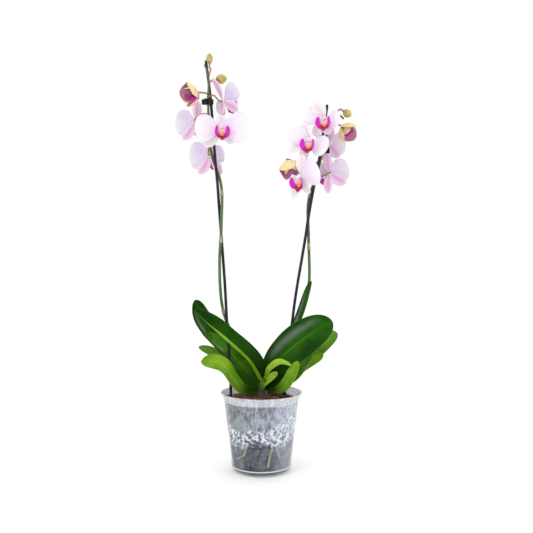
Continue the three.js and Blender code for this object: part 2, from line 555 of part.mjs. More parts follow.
const BLOOM_ORDER = {
  left: ['bloom_left_front', 'bloom_left_outer', 'bloom_left_top', 'bloom_left_low', 'bloom_left_half',
    'bud_left_top', 'bud_left_side'],
  right: ['bloom_right_top', 'bloom_right_middle', 'bloom_right_low', 'bloom_right_back', 'bloom_right_outer',
    'bloom_right_half', 'bloom_right_peach', 'bud_right'],
};

function bloomGroup(name, bloom) {
  const blades = TEPALS.map((part) => tepal(bloom, part));
  const tepals = fuse([...heart(bloom, 0), ...blades.map(([form, size]) => blade(form, size))]);
  const around = blades.map(([form, size]) => widerBlade(form, size));
  const lip = carve(lipSolid(bloom, bloom.half ? LIP.small : 1), around);
  const group = new THREE.Group();
  group.position.set(...bloom.at);
  group.add(piece(name, mainBody(tepals), bloom.half ? COLOURS.hood : COLOURS.petal));
  group.add(piece(`${name}_lip`, mainBody(lip), COLOURS.lip));
  return group;
}

// a closed bud: an oval drawn to a point, with the three shallow seams of its sepals
function budMesh(name, { at, face, radius, length }) {
  const geometry = new THREE.SphereGeometry(1, 9, 7).scale(radius, length / 2, radius);
  const place = geometry.attributes.position;
  for (let i = 0; i < place.count; i += 1) {
    const share = place.getY(i) / (length / 2);
    const seam = 1 - 0.09 * Math.max(0, Math.cos(3 * Math.atan2(place.getZ(i), place.getX(i))));
    const taper = seam * (share > 0 ? 1 - 0.35 * share ** 2 : 1);
    place.setXYZ(i, place.getX(i) * taper, place.getY(i), place.getZ(i) * taper);
  }
  geometry.applyQuaternion(new THREE.Quaternion().setFromUnitVectors(new THREE.Vector3(0, 1, 0),
    vec(face).normalize()));
  const mesh = piece(name, toSolid(geometry), COLOURS.bud);
  mesh.position.set(...at);
  return mesh;
}

// ---- the whole plant in its pot -------------------------------------------------------------------------
function spray(side) {
  const group = new THREE.Group();
  const parts = SPRAYS[side];
  const all = BLOOM_ORDER[side].map((name) => BLOOMS[name] ?? BUDS[name]);
  group.add(piece(`spike_${side}`, spikeSolid(parts, all, [crownSpace]), COLOURS.spike));
  group.add(piece(`stake_${side}`, stakeSolid(parts), COLOURS.stake));
  const { centre, turn } = CLIPS[side];
  const clip = clipSolid(centre, turn, [stakeHole(parts), stemHole(parts)]);
  group.add(piece(`clip_${side}`, clip, COLOURS.clip));
  for (const name of BLOOM_ORDER[side]) {
    group.add(BLOOMS[name] ? bloomGroup(name, BLOOMS[name]) : budMesh(name, BUDS[name]));
  }
  return group;
}

const crownSpace = fuse(crownParts(GAP));
const holes = Object.values(SPRAYS).map(stakeHole);

const orchid = new THREE.Group();
orchid.name = 'potted_orchid';
const planting = new THREE.Group();
planting.add(piece('pot', potSolid(), COLOURS.pot));
planting.add(piece('bark', barkSolid([crownSpace, ...holes]), COLOURS.bark));
const plant = new THREE.Group();
plant.add(piece('crown', fuse(crownParts(0)), COLOURS.crown));
plant.add(...leafMeshes([crownSpace, ...holes, ...Object.values(SPRAYS).map(stemHole)]));
orchid.add(planting, plant, spray('left'), spray('right'));

export default orchid;
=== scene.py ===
"""A potted moth orchid: a clear nursery pot of bark, roots, broad leaves and two staked flower spikes."""
import math
import random
from bisect import bisect_left

import bmesh
import bpy
from bpy.props import FloatProperty, FloatVectorProperty, IntProperty, PointerProperty
from mathutils import Matrix, Vector
from mathutils.geometry import interpolate_bezier


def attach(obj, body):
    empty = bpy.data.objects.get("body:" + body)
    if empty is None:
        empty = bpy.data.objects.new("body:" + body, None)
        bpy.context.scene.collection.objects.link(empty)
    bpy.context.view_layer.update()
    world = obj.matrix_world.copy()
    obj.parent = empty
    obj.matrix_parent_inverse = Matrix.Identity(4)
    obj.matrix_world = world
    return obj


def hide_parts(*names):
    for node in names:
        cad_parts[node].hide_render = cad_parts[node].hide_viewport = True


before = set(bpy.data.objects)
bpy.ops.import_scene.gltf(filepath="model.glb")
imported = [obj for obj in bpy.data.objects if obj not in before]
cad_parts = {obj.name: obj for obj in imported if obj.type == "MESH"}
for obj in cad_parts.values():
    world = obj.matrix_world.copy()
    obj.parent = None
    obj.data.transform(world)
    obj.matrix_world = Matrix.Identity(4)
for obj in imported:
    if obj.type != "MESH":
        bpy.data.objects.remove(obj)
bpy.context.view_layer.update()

bl_info = {
    "name": "Potted moth orchid",
    "version": (1, 0, 0),
    "blender": (4, 5, 0),
    "location": "3D View > Sidebar > Orchid",
    "description": "Builds a potted moth orchid with bark, roots, leaves, flower spikes and blooms",
    "category": "Add Mesh",
}

MM = 0.001  # shapes are in millimetres until add_piece scales them; heights and sizes in finishes are in metres
FULL_TURN = 2 * math.pi
GOLDEN_TURN = 2.39996  # spreads things evenly round a circle


# ---- colours and shader maths ------------------------------------------------------------------------
def paint(red, green, blue):
    """A screen colour from 0 to 255 as the linear colour that shaders take."""
    def linear(level):
        level /= 255
        return level / 12.92 if level <= 0.04045 else ((level + 0.055) / 1.055) ** 2.4
    return (linear(red), linear(green), linear(blue), 1.0)


class Wire:
    """A socket in a material's nodes. Sums, products and powers of wires add Math nodes."""

    def __init__(self, tree, socket=None):
        self.tree = tree
        self.socket = socket

    def node(self, kind, settings=None, sockets=None, output=0):
        """Adds any node: its settings come first, then the values or wires of its sockets."""
        made = self.tree.nodes.new(kind)
        for name, value in (settings or {}).items():
            setattr(made, name, value)
        for name, value in (sockets or {}).items():
            if isinstance(value, Wire):
                self.tree.links.new(value.socket, made.inputs[name])
            else:
                made.inputs[name].default_value = value
        return Wire(self.tree, made.outputs[output] if made.outputs else None)

    def math(self, operation, *values):
        return self.node("ShaderNodeMath", {"operation": operation}, dict(enumerate(values)))

    def __add__(self, other):
        return self.math("ADD", self, other)

    __radd__ = __add__

    def __sub__(self, other):
        return self.math("SUBTRACT", self, other)

    def __rsub__(self, other):
        return self.math("SUBTRACT", other, self)

    def __mul__(self, other):
        return self.math("MULTIPLY", self, other)

    __rmul__ = __mul__

    def __pow__(self, other):
        return self.math("POWER", self, other)

    def __abs__(self):
        return self.math("ABSOLUTE", self)

    def most(self, other):
        """The larger of two values."""
        return self.math("MAXIMUM", self, other)

    def smooth(self, low, high):
        """A soft step from 0 at low to 1 at high, or the other way round."""
        return self.node("ShaderNodeMapRange", {"interpolation_type": "SMOOTHSTEP"},
                         {"Value": self, "From Min": low, "From Max": high})

    def mix(self, colour, other):
        """The first colour where this is 0 and the other where it is 1."""
        return self.node("ShaderNodeMix", {"data_type": "RGBA"}, {0: self, 6: colour, 7: other}, output=2)

    def axis(self, name):
        """The X, Y or Z of a place or a colour."""
        return self.node("ShaderNodeSeparateXYZ", sockets={0: self}, output=name)


def place(start, stretch=(1, 1, 1)):
    """Where a point lies on the plant, in metres, stretched along the axes."""
    spot = start.node("ShaderNodeTexCoord", output="Object")
    return start.node("ShaderNodeMapping", sockets={"Vector": spot, "Scale": stretch})


def grain(start, size, detail=3.0, stretch=(1, 1, 1)):
    """Soft noise from 0 to 1 with patches about size metres wide."""
    return start.node("ShaderNodeTexNoise", sockets={"Vector": place(start, stretch), "Scale": 1 / size,
                                                      "Detail": detail})


def patches(start, size, span, first, second, detail=3.0, stretch=(1, 1, 1)):
    """Soft noise, and two colours that follow it, blended where it lies within the span."""
    cloud = grain(start, size, detail, stretch)
    return cloud, cloud.smooth(*span).mix(first, second)


def cells(start, size, output="Distance", stretch=(1, 1, 1)):
    """Cells about size metres wide, as spots, drops or flakes have them."""
    return start.node("ShaderNodeTexVoronoi", sockets={"Vector": place(start, stretch), "Scale": 1 / size},
                      output=output)


def blade_place(start):
    """How far across (-1 to 1) and along (0 to 1) its own blade a point lies."""
    spot = start.node("ShaderNodeUVMap", {"uv_map": "UVMap"})
    return spot.axis("X") * 2 - 1, spot.axis("Y")


def veins(start, across, count, wander=0.15, size=0.012, width=0.3):
    """Lines that run from a blade's foot to its edge: 1 on a line and 0 between lines."""
    line = (across + (grain(start, size) - 0.5) * wander) * count
    return start.math("PINGPONG", line, 0.5).smooth(width, 0.0)


FINISHES = {}


def finish(depth=0.0, **alike):
    """Makes materials with a function that says what varies over a surface.

    Depth is its relief in millimetres, and alike holds what is the same all over it.
    """
    def keep(dress):
        def make(name, *looks):
            if name in FINISHES:
                return FINISHES[name]
            material = FINISHES[name] = bpy.data.materials.new(f"{name}_finish")
            material.use_nodes = True
            material.node_tree.nodes.clear()
            start = Wire(material.node_tree)
            sockets = {key.replace("_", " "): value for key, value in alike.items()} | dress(start, *looks)
            relief, cover = sockets.pop("Relief", None), sockets.pop("Cover", None)
            if relief is not None:
                bump = {"Distance": depth * MM, "Height": relief}
                sockets["Normal"] = start.node("ShaderNodeBump", sockets=bump)
            shader = start.node("ShaderNodeBsdfPrincipled", sockets=sockets)
            if cover is not None:
                clear = start.node("ShaderNodeBsdfTransparent")
                shader = start.node("ShaderNodeMixShader", sockets={0: cover, 1: clear, 2: shader})
            start.node("ShaderNodeOutputMaterial", sockets={"Surface": shader})
            return material
        return make
    return keep


# ---- finishes ----------------------------------------------------------------------------------------
FLESHY = {"Subsurface_Weight": 0.12, "Subsurface_Scale": 0.003}
SILKY = {**FLESHY, "Subsurface_Radius": (1.0, 0.8, 0.9), "Specular_IOR_Level": 0.3, "Sheen_Weight": 0.05}
SKIN_CELL = 0.0007  # size of the finest relief on petals and sepals


@finish(0.2, **SILKY)
def petal_finish(start, base, flush, vein, strength):
    """A thin petal: nearly white, flushed towards its heart, finely veined, with painted shade along its rim."""
    across, along = blade_place(start)
    cloud = grain(start, 0.016)
    main = veins(start, across, 6, 0.1, 0.02)
    twigs = veins(start, across, 13, 0.06, 0.02) * along.smooth(0.25, 0.6)
    lines = main.most(twigs * 0.6) * along.smooth(0.95, 0.25) * along.smooth(0.0, 0.12)
    blush = along.smooth(0.85, 0.3) * 0.55 + cloud.smooth(0.4, 0.75) * 0.35
    # painted shade: a grey-blue tint along the rim and the tip
    edge = abs(across).smooth(0.86, 1.0).most(along.smooth(0.9, 1.0))
    colour = (lines * strength).mix(blush.mix(base, flush), vein)
    colour = (edge * 0.5).mix(colour, paint(208, 205, 220))
    return {"Base Color": colour, "Roughness": 0.42 + cloud * 0.2,
            "Relief": grain(start, SKIN_CELL, 2.0) * 0.4 - lines * 0.4}


@finish(0.25, **SILKY)
def sepal_finish(start, base, middle, vein, edge):
    """A sepal: a deeper band down its middle, fine veins beside it and a paler edge."""
    across, along = blade_place(start)
    cloud = grain(start, 0.014)
    rib = abs(across + (cloud - 0.5) * 0.2).smooth(0.5, 0.0)
    lines = veins(start, across, 5) * along.smooth(1.0, 0.6)
    colour = (abs(across).smooth(0.5, 1.0) * 0.8).mix(base, edge)
    colour = (rib * 0.7 * along.smooth(1.05, 0.5)).mix(colour, middle)
    colour = (lines * 0.22).mix(colour, vein)
    return {"Base Color": colour, "Roughness": 0.42 + cloud * 0.2,
            "Relief": lines * -0.4 + grain(start, SKIN_CELL, 2.0) * 0.4}


@finish(0.3, **FLESHY, Subsurface_Radius=(1.0, 0.8, 0.6), Specular_IOR_Level=0.35)
def hood_finish(start, base, blush, green, foot):
    """The outside of a half-open petal: cream with a peach blush, greener at its tip and at its foot."""
    across, along = blade_place(start)
    cloud, colour = patches(start, 0.012, (0.38, 0.66), base, blush)
    lines = veins(start, across, 7)
    colour = (along.smooth(0.78, 1.0) * 0.7).mix(colour, green)
    colour = (along.smooth(0.3, 0.05) * 0.8).mix(colour, foot)
    colour = (lines * 0.2).mix(colour, blush)
    return {"Base Color": colour, "Roughness": 0.45 + cloud * 0.15, "Relief": lines * -0.3 + cloud * 0.4}


@finish(0.3, Subsurface_Weight=0.1, Subsurface_Scale=0.002, Specular_IOR_Level=0.35)
def hood_inside_finish(start, heart, rose, edge):
    """The inside of a half-open petal: crimson deep down, then dusty rose, and cream along its edge."""
    across, along = blade_place(start)
    cloud = grain(start, 0.009)
    lines = veins(start, across, 7)
    depth = along + (cloud - 0.5) * 0.35 + abs(across) * 0.12
    colour = (lines * 0.35).mix(depth.smooth(0.3, 0.7).mix(heart, rose), heart)
    colour = abs(across).smooth(0.8, 0.97).most(along.smooth(0.9, 1.0)).mix(colour, edge)
    return {"Base Color": colour, "Roughness": 0.45 + cloud * 0.15, "Relief": lines * -0.3 + cloud * 0.4}


@finish(0.25, Subsurface_Weight=0.08, Subsurface_Scale=0.002, Specular_IOR_Level=0.4, Sheen_Weight=0.1)
def lip_finish(start, foot, top, bottom, stripe):
    """A lip lobe: pale and striped at its foot, then deep crimson, and bright towards its far end."""
    across, along = blade_place(start)
    cloud = grain(start, 0.006)
    lines = veins(start, across, 6, 0.2, 0.005, 0.45)
    colour = (along + (cloud - 0.5) * 0.5).smooth(0.12, 0.62).mix(bottom, top)
    colour = (lines * 0.3).mix(colour, bottom)
    colour = (along.smooth(0.16, 0.0) * 0.7).mix(colour, foot)
    colour = (lines * along.smooth(0.3, 0.08)).mix(colour, stripe)
    return {"Base Color": colour, "Roughness": 0.4 + cloud * 0.2, "Relief": lines * -0.6 + cloud * 0.4}


@finish(0.2, Coat_Weight=0.2)
def throat_finish(start):
    """The lip's callus: cream and orange with small crimson spots."""
    spots = cells(start, 0.0016).smooth(0.34, 0.22)
    cloud, colour = patches(start, 0.004, (0.35, 0.65), paint(250, 196, 92), paint(226, 120, 28))
    colour = (spots * 0.75).mix(colour, paint(150, 20, 60))
    return {"Base Color": colour, "Roughness": 0.35 + cloud * 0.1, "Relief": spots + cloud}


@finish(0.2, Subsurface_Weight=0.1, Subsurface_Scale=0.003)
def column_finish(start):
    """The white column with a pink tinge."""
    cloud, colour = patches(start, 0.004, (0.35, 0.7), paint(247, 240, 243), paint(226, 178, 205))
    return {"Base Color": colour, "Roughness": 0.35 + cloud * 0.1, "Relief": cloud}


@finish(0.5, Coat_Roughness=0.14, Coat_IOR=2.0, Specular_IOR_Level=0.02)
def leaf_finish(start, deep, light, rib, foot, gloss):
    """A thick leaf: fine lengthwise strands, a midrib, cloudy green, a streak of waxy gloss and painted shade
    towards its foot.
    """
    across, along = blade_place(start)
    cloud = grain(start, 0.03, 4.0)
    strands = veins(start, across, 15, 0.05, 0.02, 0.5)
    midrib = abs(across).smooth(0.07, 0.0)
    colour = (cloud.smooth(0.35, 0.68) * 0.7 + abs(across).smooth(0.5, 0.0) * 0.35).mix(deep, light)
    colour = (strands * 0.1).mix(colour, light)
    colour = (midrib * along.smooth(1.0, 0.2) * 0.7).mix(colour, rib)
    colour = (abs(across).smooth(0.93, 1.0) * 0.4).mix(colour, rib)
    # painted shade: the blade darkens to its foot colour towards the crown
    colour = (along.smooth(0.52, 0.24) * 0.94).mix(colour, foot)
    pores = grain(start, 0.0012, 2.0)
    band = abs(across + 0.55).smooth(0.32, 0.0) * along.smooth(0.3, 0.46) * along.smooth(0.86, 0.6)
    sheen = band * cloud.smooth(0.3, 0.5) * (strands * 0.5 + 0.7)
    return {"Base Color": colour, "Roughness": 0.34 + cloud * 0.14 + pores * 0.06, "Coat Weight": sheen * gloss,
            "Relief": strands * 0.07 - midrib + pores * 0.06 + cloud * 0.4}


@finish(0.25, Coat_Weight=0.12, Coat_Roughness=0.3)
def stem_finish(start):
    """The flower stem: green below, and olive brown and speckled near its blooms."""
    cloud, low = patches(start, 0.01, (0.3, 0.7), paint(52, 84, 30), paint(76, 108, 44), 4.0, (1, 1, 0.25))
    high = cloud.smooth(0.3, 0.7).mix(paint(66, 76, 34), paint(96, 98, 50))
    specks = grain(start, 0.0012, 2.0).smooth(0.58, 0.7)
    colour = place(start).axis("Z").smooth(0.36, 0.52).mix(low, high)
    colour = (specks * 0.35).mix(colour, paint(70, 58, 40))
    return {"Base Color": colour, "Roughness": 0.36 + cloud * 0.15, "Relief": cloud + specks * 0.3}


@finish(0.2, Subsurface_Weight=0.05, Subsurface_Scale=0.002)
def stalk_finish(start):
    """The bloom stalks: salmon brown, greener in patches."""
    cloud, colour = patches(start, 0.007, (0.35, 0.7), paint(172, 112, 104), paint(146, 128, 86), 4.0)
    return {"Base Color": colour, "Roughness": 0.4 + cloud * 0.15, "Relief": cloud}


@finish(0.2)
def joint_finish(start):
    """The scale leaf round a stem joint: pale and papery, brown at its edge."""
    across, along = blade_place(start)
    cloud, colour = patches(start, 0.004, (0.3, 0.7), paint(176, 180, 128), paint(120, 138, 76))
    colour = (along.smooth(0.6, 1.0) * 0.7).mix(colour, paint(120, 88, 62))
    return {"Base Color": colour, "Roughness": 0.5 + cloud * 0.2, "Relief": veins(start, across, 5)}


@finish(0.3, Subsurface_Weight=0.08, Subsurface_Scale=0.003)
def bud_finish(start):
    """A closed bud: ochre yellow with a green point, fine veins and a browner foot."""
    across, along = blade_place(start)
    cloud, colour = patches(start, 0.005, (0.35, 0.65), paint(206, 188, 104), paint(172, 146, 74))
    lines = veins(start, across, 9, 0.3, 0.006, 0.5)
    colour = (along.smooth(0.65, 0.98) * 0.6).mix(colour, paint(150, 148, 62))
    colour = (along.smooth(0.4, 0.02) * 0.8).mix(colour, paint(120, 92, 52))
    colour = (lines * 0.16).mix(colour, paint(140, 104, 66))
    return {"Base Color": colour, "Roughness": 0.38 + cloud * 0.15, "Relief": lines * -0.25 + cloud * 0.5}


@finish(0.4)
def root_finish(start):
    """A root: silvery green and matt, brighter green where it is wet."""
    cloud, colour = patches(start, 0.008, (0.35, 0.65), paint(126, 160, 72), paint(166, 188, 124), 4.0)
    scale = grain(start, 0.0015)
    colour = (scale.smooth(0.55, 0.75) * 0.4).mix(colour, paint(188, 196, 166))
    return {"Base Color": colour, "Roughness": 0.55 + scale * 0.25, "Relief": scale + cloud * 0.5}


@finish(0.5)
def crown_finish(start):
    """The short stem that the leaves grow from, darkened with painted shade, and brown where it stands in the
    bark.
    """
    # the near-black greens are painted shade under the leaves
    cloud, colour = patches(start, 0.009, (0.3, 0.7), paint(46, 70, 24), paint(26, 44, 14), 4.0)
    colour = place(start).axis("Z").smooth(0.112, 0.1).mix(colour, paint(112, 92, 60))
    return {"Base Color": colour, "Roughness": 0.45 + cloud * 0.2, "Relief": cloud}


@finish(1.1, Specular_IOR_Level=0.4)
def bark_finish(start, tint, dark, light):
    """Bark: fibrous, flaky and damp, with a darker grain."""
    fibre = grain(start, 0.0035, 6.0, (1.0, 1.6, 0.5))
    # a tone that differs at random from flake to flake
    flake_tone = cells(start, 0.011, output="Color").axis("X")
    colour = (flake_tone * 0.7 + fibre * 0.45).smooth(0.1, 1.0).mix(dark, light)
    colour = fibre.smooth(0.56, 0.72).mix(colour, tint)
    return {"Base Color": colour, "Roughness": 0.6 + fibre * 0.35, "Relief": fibre * 1.4 + flake_tone * 0.2}


@finish(0.25, Specular_IOR_Level=0.22)
def stake_finish(start):
    """The stake's coating: black with a purple tinge, worn matt in places."""
    cloud, colour = patches(start, 0.012, (0.35, 0.7), paint(24, 18, 32), paint(50, 41, 62), 4.0)
    ribs = grain(start, 0.0016, 3.0, (1, 1, 0.2))
    return {"Base Color": colour, "Roughness": 0.32 + cloud * 0.2 + ribs * 0.1, "Relief": ribs + cloud}


@finish(0.12, Specular_IOR_Level=0.3)
def clip_finish(start):
    """Moulded black plastic."""
    cloud, colour = patches(start, 0.006, (0.3, 0.7), paint(10, 9, 12), paint(28, 25, 30), 4.0)
    return {"Base Color": colour, "Roughness": 0.34 + cloud * 0.15, "Relief": grain(start, 0.0006, 2.0)}


RIDGE_HIGHLIGHTS = ((0.1046, 0.0009, 0.0003), (0.1072, 0.0009, 0.0003), (0.0082, 0.0012, 0.0004))  # painted highlights on the wall's moulded ridges: height, span


@finish(0.5, Specular_IOR_Level=0.6, Coat_Weight=0.3, Coat_Roughness=0.08)
def pot_finish(start, haze):
    """Clear plastic: grey with breath above, foamy white with drops in a band, and clear below."""
    height, right = place(start).axis("Z"), place(start).axis("X")
    cloud = grain(start, 0.02, 4.0)
    streaks = grain(start, 0.0045, 5.0, (1, 1, 0.4))
    specks = grain(start, 0.0018)
    beads = cells(start, 0.0024, stretch=(1, 1, 0.8)).smooth(0.36, 0.2)
    # how high each state of the wall reaches, with an uneven edge
    level = height + (cloud - 0.5) * 0.03 + (streaks - 0.5) * 0.016
    mist = level.smooth(0.056, 0.072)
    foam_top = right.smooth(0.01, 0.04) * 0.02 + 0.068
    band = level.smooth(0.041, 0.05) * (foam_top - level).smooth(-0.008, 0.004)
    foam = grain(start, 0.0045, 5.0).smooth(0.44, 0.57) * band
    damp = right.smooth(0.006, 0.03) * 0.4 + right.smooth(-0.01, -0.035) * 0.24
    rim = height.smooth(0.1015, 0.1045)
    foot = height.smooth(0.0085, 0.0075) * height.smooth(0.0002, 0.0012)
    # painted highlight lines along the ridges
    lines = 0.0
    for line, outer, inner in RIDGE_HIGHLIGHTS:
        lines = abs(height - line).smooth(outer, inner).most(lines)
    # painted reflection: where the wall is seen edge-on it turns whiter and hides more
    edge = start.node("ShaderNodeLayerWeight", sockets={"Blend": 0.35}, output="Facing") ** 2.5
    # how much of what is behind the wall it hides
    hidden = mist * haze * ((streaks * 0.6 + specks * 0.4).smooth(0.4, 0.6) * 0.6 + 0.55)
    cover = hidden.most(foam * 0.78).most(specks.smooth(0.55, 0.75) * 0.2) + 0.13
    for share in (damp, rim * 0.5, lines * 0.75, edge * 0.7, foot * 0.6):
        cover = cover.most(share)
    tone = (streaks * 0.4 + cloud * 0.3 + specks * 0.3).smooth(0.42, 0.58)
    tone = tone.mix(paint(108, 115, 124), paint(174, 181, 193))
    tone = (right.smooth(0.0, -0.045) * mist * 0.55).mix(tone, paint(104, 120, 104))
    tone = (right.smooth(0.004, 0.03) * (mist * 0.4 + 0.25)).mix(tone, paint(208, 216, 234))
    tone = foam.mix(tone, paint(224, 229, 242))
    # a darker, speckled band round the pot's foot
    foot_band_tone = specks.smooth(0.42, 0.58).mix(paint(52, 52, 60), paint(120, 124, 136))
    tone = (foot * 0.85).mix(tone, foot_band_tone)
    # painted highlights on the ridges and the painted reflection where the wall is seen edge-on whiten the tone;
    # the rim is whiter too
    tone = (rim * 0.75).most(lines).most(edge).mix(tone, paint(232, 234, 240))
    return {"Base Color": tone, "Roughness": mist * 0.22 + 0.12 + foam * 0.2, "Cover": cover,
            "Relief": beads * (band + mist * 0.35) + cloud * 0.3}


@finish(Specular_IOR_Level=0.8, Coat_Weight=0.5)
def drop_finish(start):
    """Drops of water that hang inside the pot."""
    cloud, colour = patches(start, 0.004, (0.3, 0.7), paint(226, 228, 232), paint(250, 250, 252))
    return {"Base Color": colour, "Roughness": 0.06 + cloud * 0.08, "Alpha": 0.5 + cloud * 0.35}


@finish(Specular_IOR_Level=0.2, Emission_Strength=0.1)
def floor_finish(start):
    """The studio's pale floor."""
    cloud, colour = patches(start, 0.4, (0.2, 0.8), paint(246, 246, 246), paint(250, 250, 250))
    return {"Base Color": colour, "Emission Color": colour, "Roughness": 0.7 + cloud * 0.1}


# ---- smooth lines, blades and stems ------------------------------------------------------------------
class Path:
    """A smooth curve through points, read by its share of length."""

    def __init__(self, points, parts=12):
        knots = [Vector(point) for point in points]
        knots = [2 * knots[0] - knots[1], *knots, 2 * knots[-1] - knots[-2]]
        self.points = [knots[1]]
        for before, start, end, after in zip(knots, knots[1:], knots[2:], knots[3:]):
            # roots of the gaps between knots, which keep the curve from looping where knots lie close
            a, b, c = ((q - p).length ** 0.5 for p, q in ((before, start), (start, end), (end, after)))
            leave = ((start - before) / a - (end - before) / (a + b) + (end - start) / b) * b
            arrive = ((end - start) / b - (after - start) / (b + c) + (after - end) / c) * b
            self.points += interpolate_bezier(start, start + leave / 3, end - arrive / 3, end, parts + 1)[1:]
        self.reach = [0.0]
        for here, there in zip(self.points, self.points[1:]):
            self.reach.append(self.reach[-1] + (there - here).length)
        self.length = self.reach[-1]

    def at(self, share):
        goal = min(max(share, 0.0), 1.0) * self.length
        k = min(max(bisect_left(self.reach, goal), 1), len(self.points) - 1)
        span = self.reach[k] - self.reach[k - 1]
        return self.points[k - 1].lerp(self.points[k], (goal - self.reach[k - 1]) / span if span else 0.0)

    def heading(self, share):
        return (self.at(min(share + 0.02, 1.0)) - self.at(max(share - 0.02, 0.0))).normalized()


def faces_of(verts):
    return list(dict.fromkeys(face for vert in verts for face in vert.link_faces))


def edges_of(verts):
    return list(dict.fromkeys(edge for vert in verts for edge in vert.link_edges))


def give_finish(faces, number):
    for face in faces:
        face.material_index = number


def half_width(form, s):
    """Half of a blade's width at a share of its length, as a share of its widest half."""
    foot, widest, fullness = form
    if s < widest:
        return foot + (1 - foot) * math.sin(s / widest * math.pi / 2)
    return max(0.05, (1 - ((s - widest) / (1 - widest)) ** fullness) ** 0.5)


def blade_surface(spine, across, width, form, fold=0.0, cup=0.0, wave=0.0, ruffle=0.0, crease=0.0, phase=0.0):
    """A blade as a function of the share along it (0 to 1) and across it (-1 to 1).

    It is folded along its middle or cupped, waves and ruffles along its edges, and is creased near its foot.
    """
    path = Path(spine)
    first, last = Vector(across[0]), Vector(across[-1])

    def surface(s, t):
        tangent = path.heading(s)
        side = first.lerp(last, s)
        side = (side - tangent * side.dot(tangent)).normalized()
        front = side.cross(tangent)
        half = width / 2 * half_width(form, s)
        bend = (t * t + 0.004) ** 0.5 - 0.063  # how far out from the midrib, rounded off at the midrib
        lift = half * (bend * math.sin(fold) + cup * t * t)
        lift += wave * t * t * math.sin(s * 9.4 + (0.6 if t > 0 else 2.4))
        lift += ruffle * abs(t) ** 3 * math.sin(s * 19 + phase + (0 if t > 0 else 1.7)) * math.sin(math.pi * s)
        lift -= crease * math.exp(-(t / 0.16) ** 2) * math.sin(math.pi * min(1, s * 1.2)) * (1 - s)
        return path.at(s) + side * (half * t * math.cos(fold)) + front * lift
    return surface


SLOPE_STEP = 0.02  # how far apart, as a share, points are compared to find how a blade slopes


def add_blade(bm, surface, rows, columns, thickness, front=0, back=1):
    """A thin closed sheet: two grids laid over the surface and joined round their rims."""
    rims = []
    for side, number in ((0.5, front), (-0.5, back)):
        made = bmesh.ops.create_grid(bm, x_segments=columns, y_segments=rows, size=1, calc_uvs=True)["verts"]
        faces = faces_of(made)
        give_finish(faces, number)
        for vert in made:
            t = vert.co.x
            share = (vert.co.y + 1) / 2
            s = share - 0.11 * math.sin(FULL_TURN * share)  # rows lie closer together near both ends
            u = min(max(s, SLOPE_STEP), 1 - SLOPE_STEP)
            v = min(max(t, SLOPE_STEP - 1), 1 - SLOPE_STEP)
            over = surface(s, v + SLOPE_STEP) - surface(s, v - SLOPE_STEP)
            normal = over.cross(surface(u + SLOPE_STEP, t) - surface(u - SLOPE_STEP, t)).normalized()
            body = 1 - 0.55 * max(abs(t) ** 4, abs(2 * s - 1) ** 8)  # thinner towards the rim
            vert.co = surface(s, t) + normal * (thickness * body * side)
        rims += [edge for edge in edges_of(made) if edge.is_boundary]
        if side < 0:
            bmesh.ops.reverse_faces(bm, faces=faces)
    give_finish(bmesh.ops.bridge_loops(bm, edges=rims)["faces"], front)


ROUND_END = ((0.0, 0.35), (0.25, 0.72), (0.6, 0.94))  # how far in, and how wide there, as shares of the radius


def sweep(bm, points, radius, sides=12, step=2.5, number=0):
    """A round stem along a smooth line; radius gives its radius at a share of its length."""
    path = points if isinstance(points, Path) else Path(points)
    count = max(4, round(path.length / step))
    lead = [(radius(0) * far / path.length, size) for far, size in ROUND_END]
    tail = [(1 - radius(1) * far / path.length, size) for far, size in reversed(ROUND_END)]
    middle = [(i / count, 1.0) for i in range(count + 1) if lead[-1][0] < i / count < tail[0][0]]
    heading = path.heading(0)
    turn = Vector((0, 0, 1)).rotation_difference(heading)
    ring = bmesh.ops.create_circle(bm, radius=1, segments=sides)["verts"]
    made = list(ring)
    before = Matrix.Identity(4)
    for i, (share, size) in enumerate(lead + middle + tail):
        if i:
            edges = [edge for edge in edges_of(ring) if edge.verts[0] in ring and edge.verts[1] in ring]
            geometry = bmesh.ops.extrude_edge_only(bm, edges=edges)["geom"]
            ring = [part for part in geometry if isinstance(part, bmesh.types.BMVert)]
            made += ring
        turn = heading.rotation_difference(path.heading(share)) @ turn
        heading = path.heading(share)
        now = Matrix.LocRotScale(path.at(share), turn, Vector.Fill(3, radius(share) * size))
        bmesh.ops.transform(bm, matrix=now @ before.inverted(), verts=ring)
        before = now
    for end in (made[:sides], made[-sides:]):
        bmesh.ops.contextual_create(bm, geom=end)
    give_finish(faces_of(made), number)


def add_oval(bm, centre, direction, radius, length, number=0, segments=12, rings=8, shape=None):
    """An oval body whose long axis lies along a direction; shape may move its points."""
    turn = Vector((0, 0, 1)).rotation_difference(Vector(direction).normalized()).to_matrix().to_4x4()
    made = bmesh.ops.create_uvsphere(bm, u_segments=segments, v_segments=rings, radius=1, calc_uvs=True)["verts"]
    for vert in made:
        co = shape(vert.co) if shape else vert.co
        vert.co = Vector((co.x * radius, co.y * radius, co.z * length / 2))
    bmesh.ops.transform(bm, matrix=Matrix.Translation(centre) @ turn, verts=made)
    give_finish(faces_of(made), number)


def new_mesh():
    bm = bmesh.new()
    bm.loops.layers.uv.new("UVMap")
    return bm


def plain_object(name, bm):
    """Turns a finished mesh into an object at the origin."""
    mesh = bpy.data.meshes.new(name)
    bm.to_mesh(mesh)
    bm.free()
    made = bpy.data.objects.new(name, mesh)
    bpy.context.scene.collection.objects.link(made)
    return made


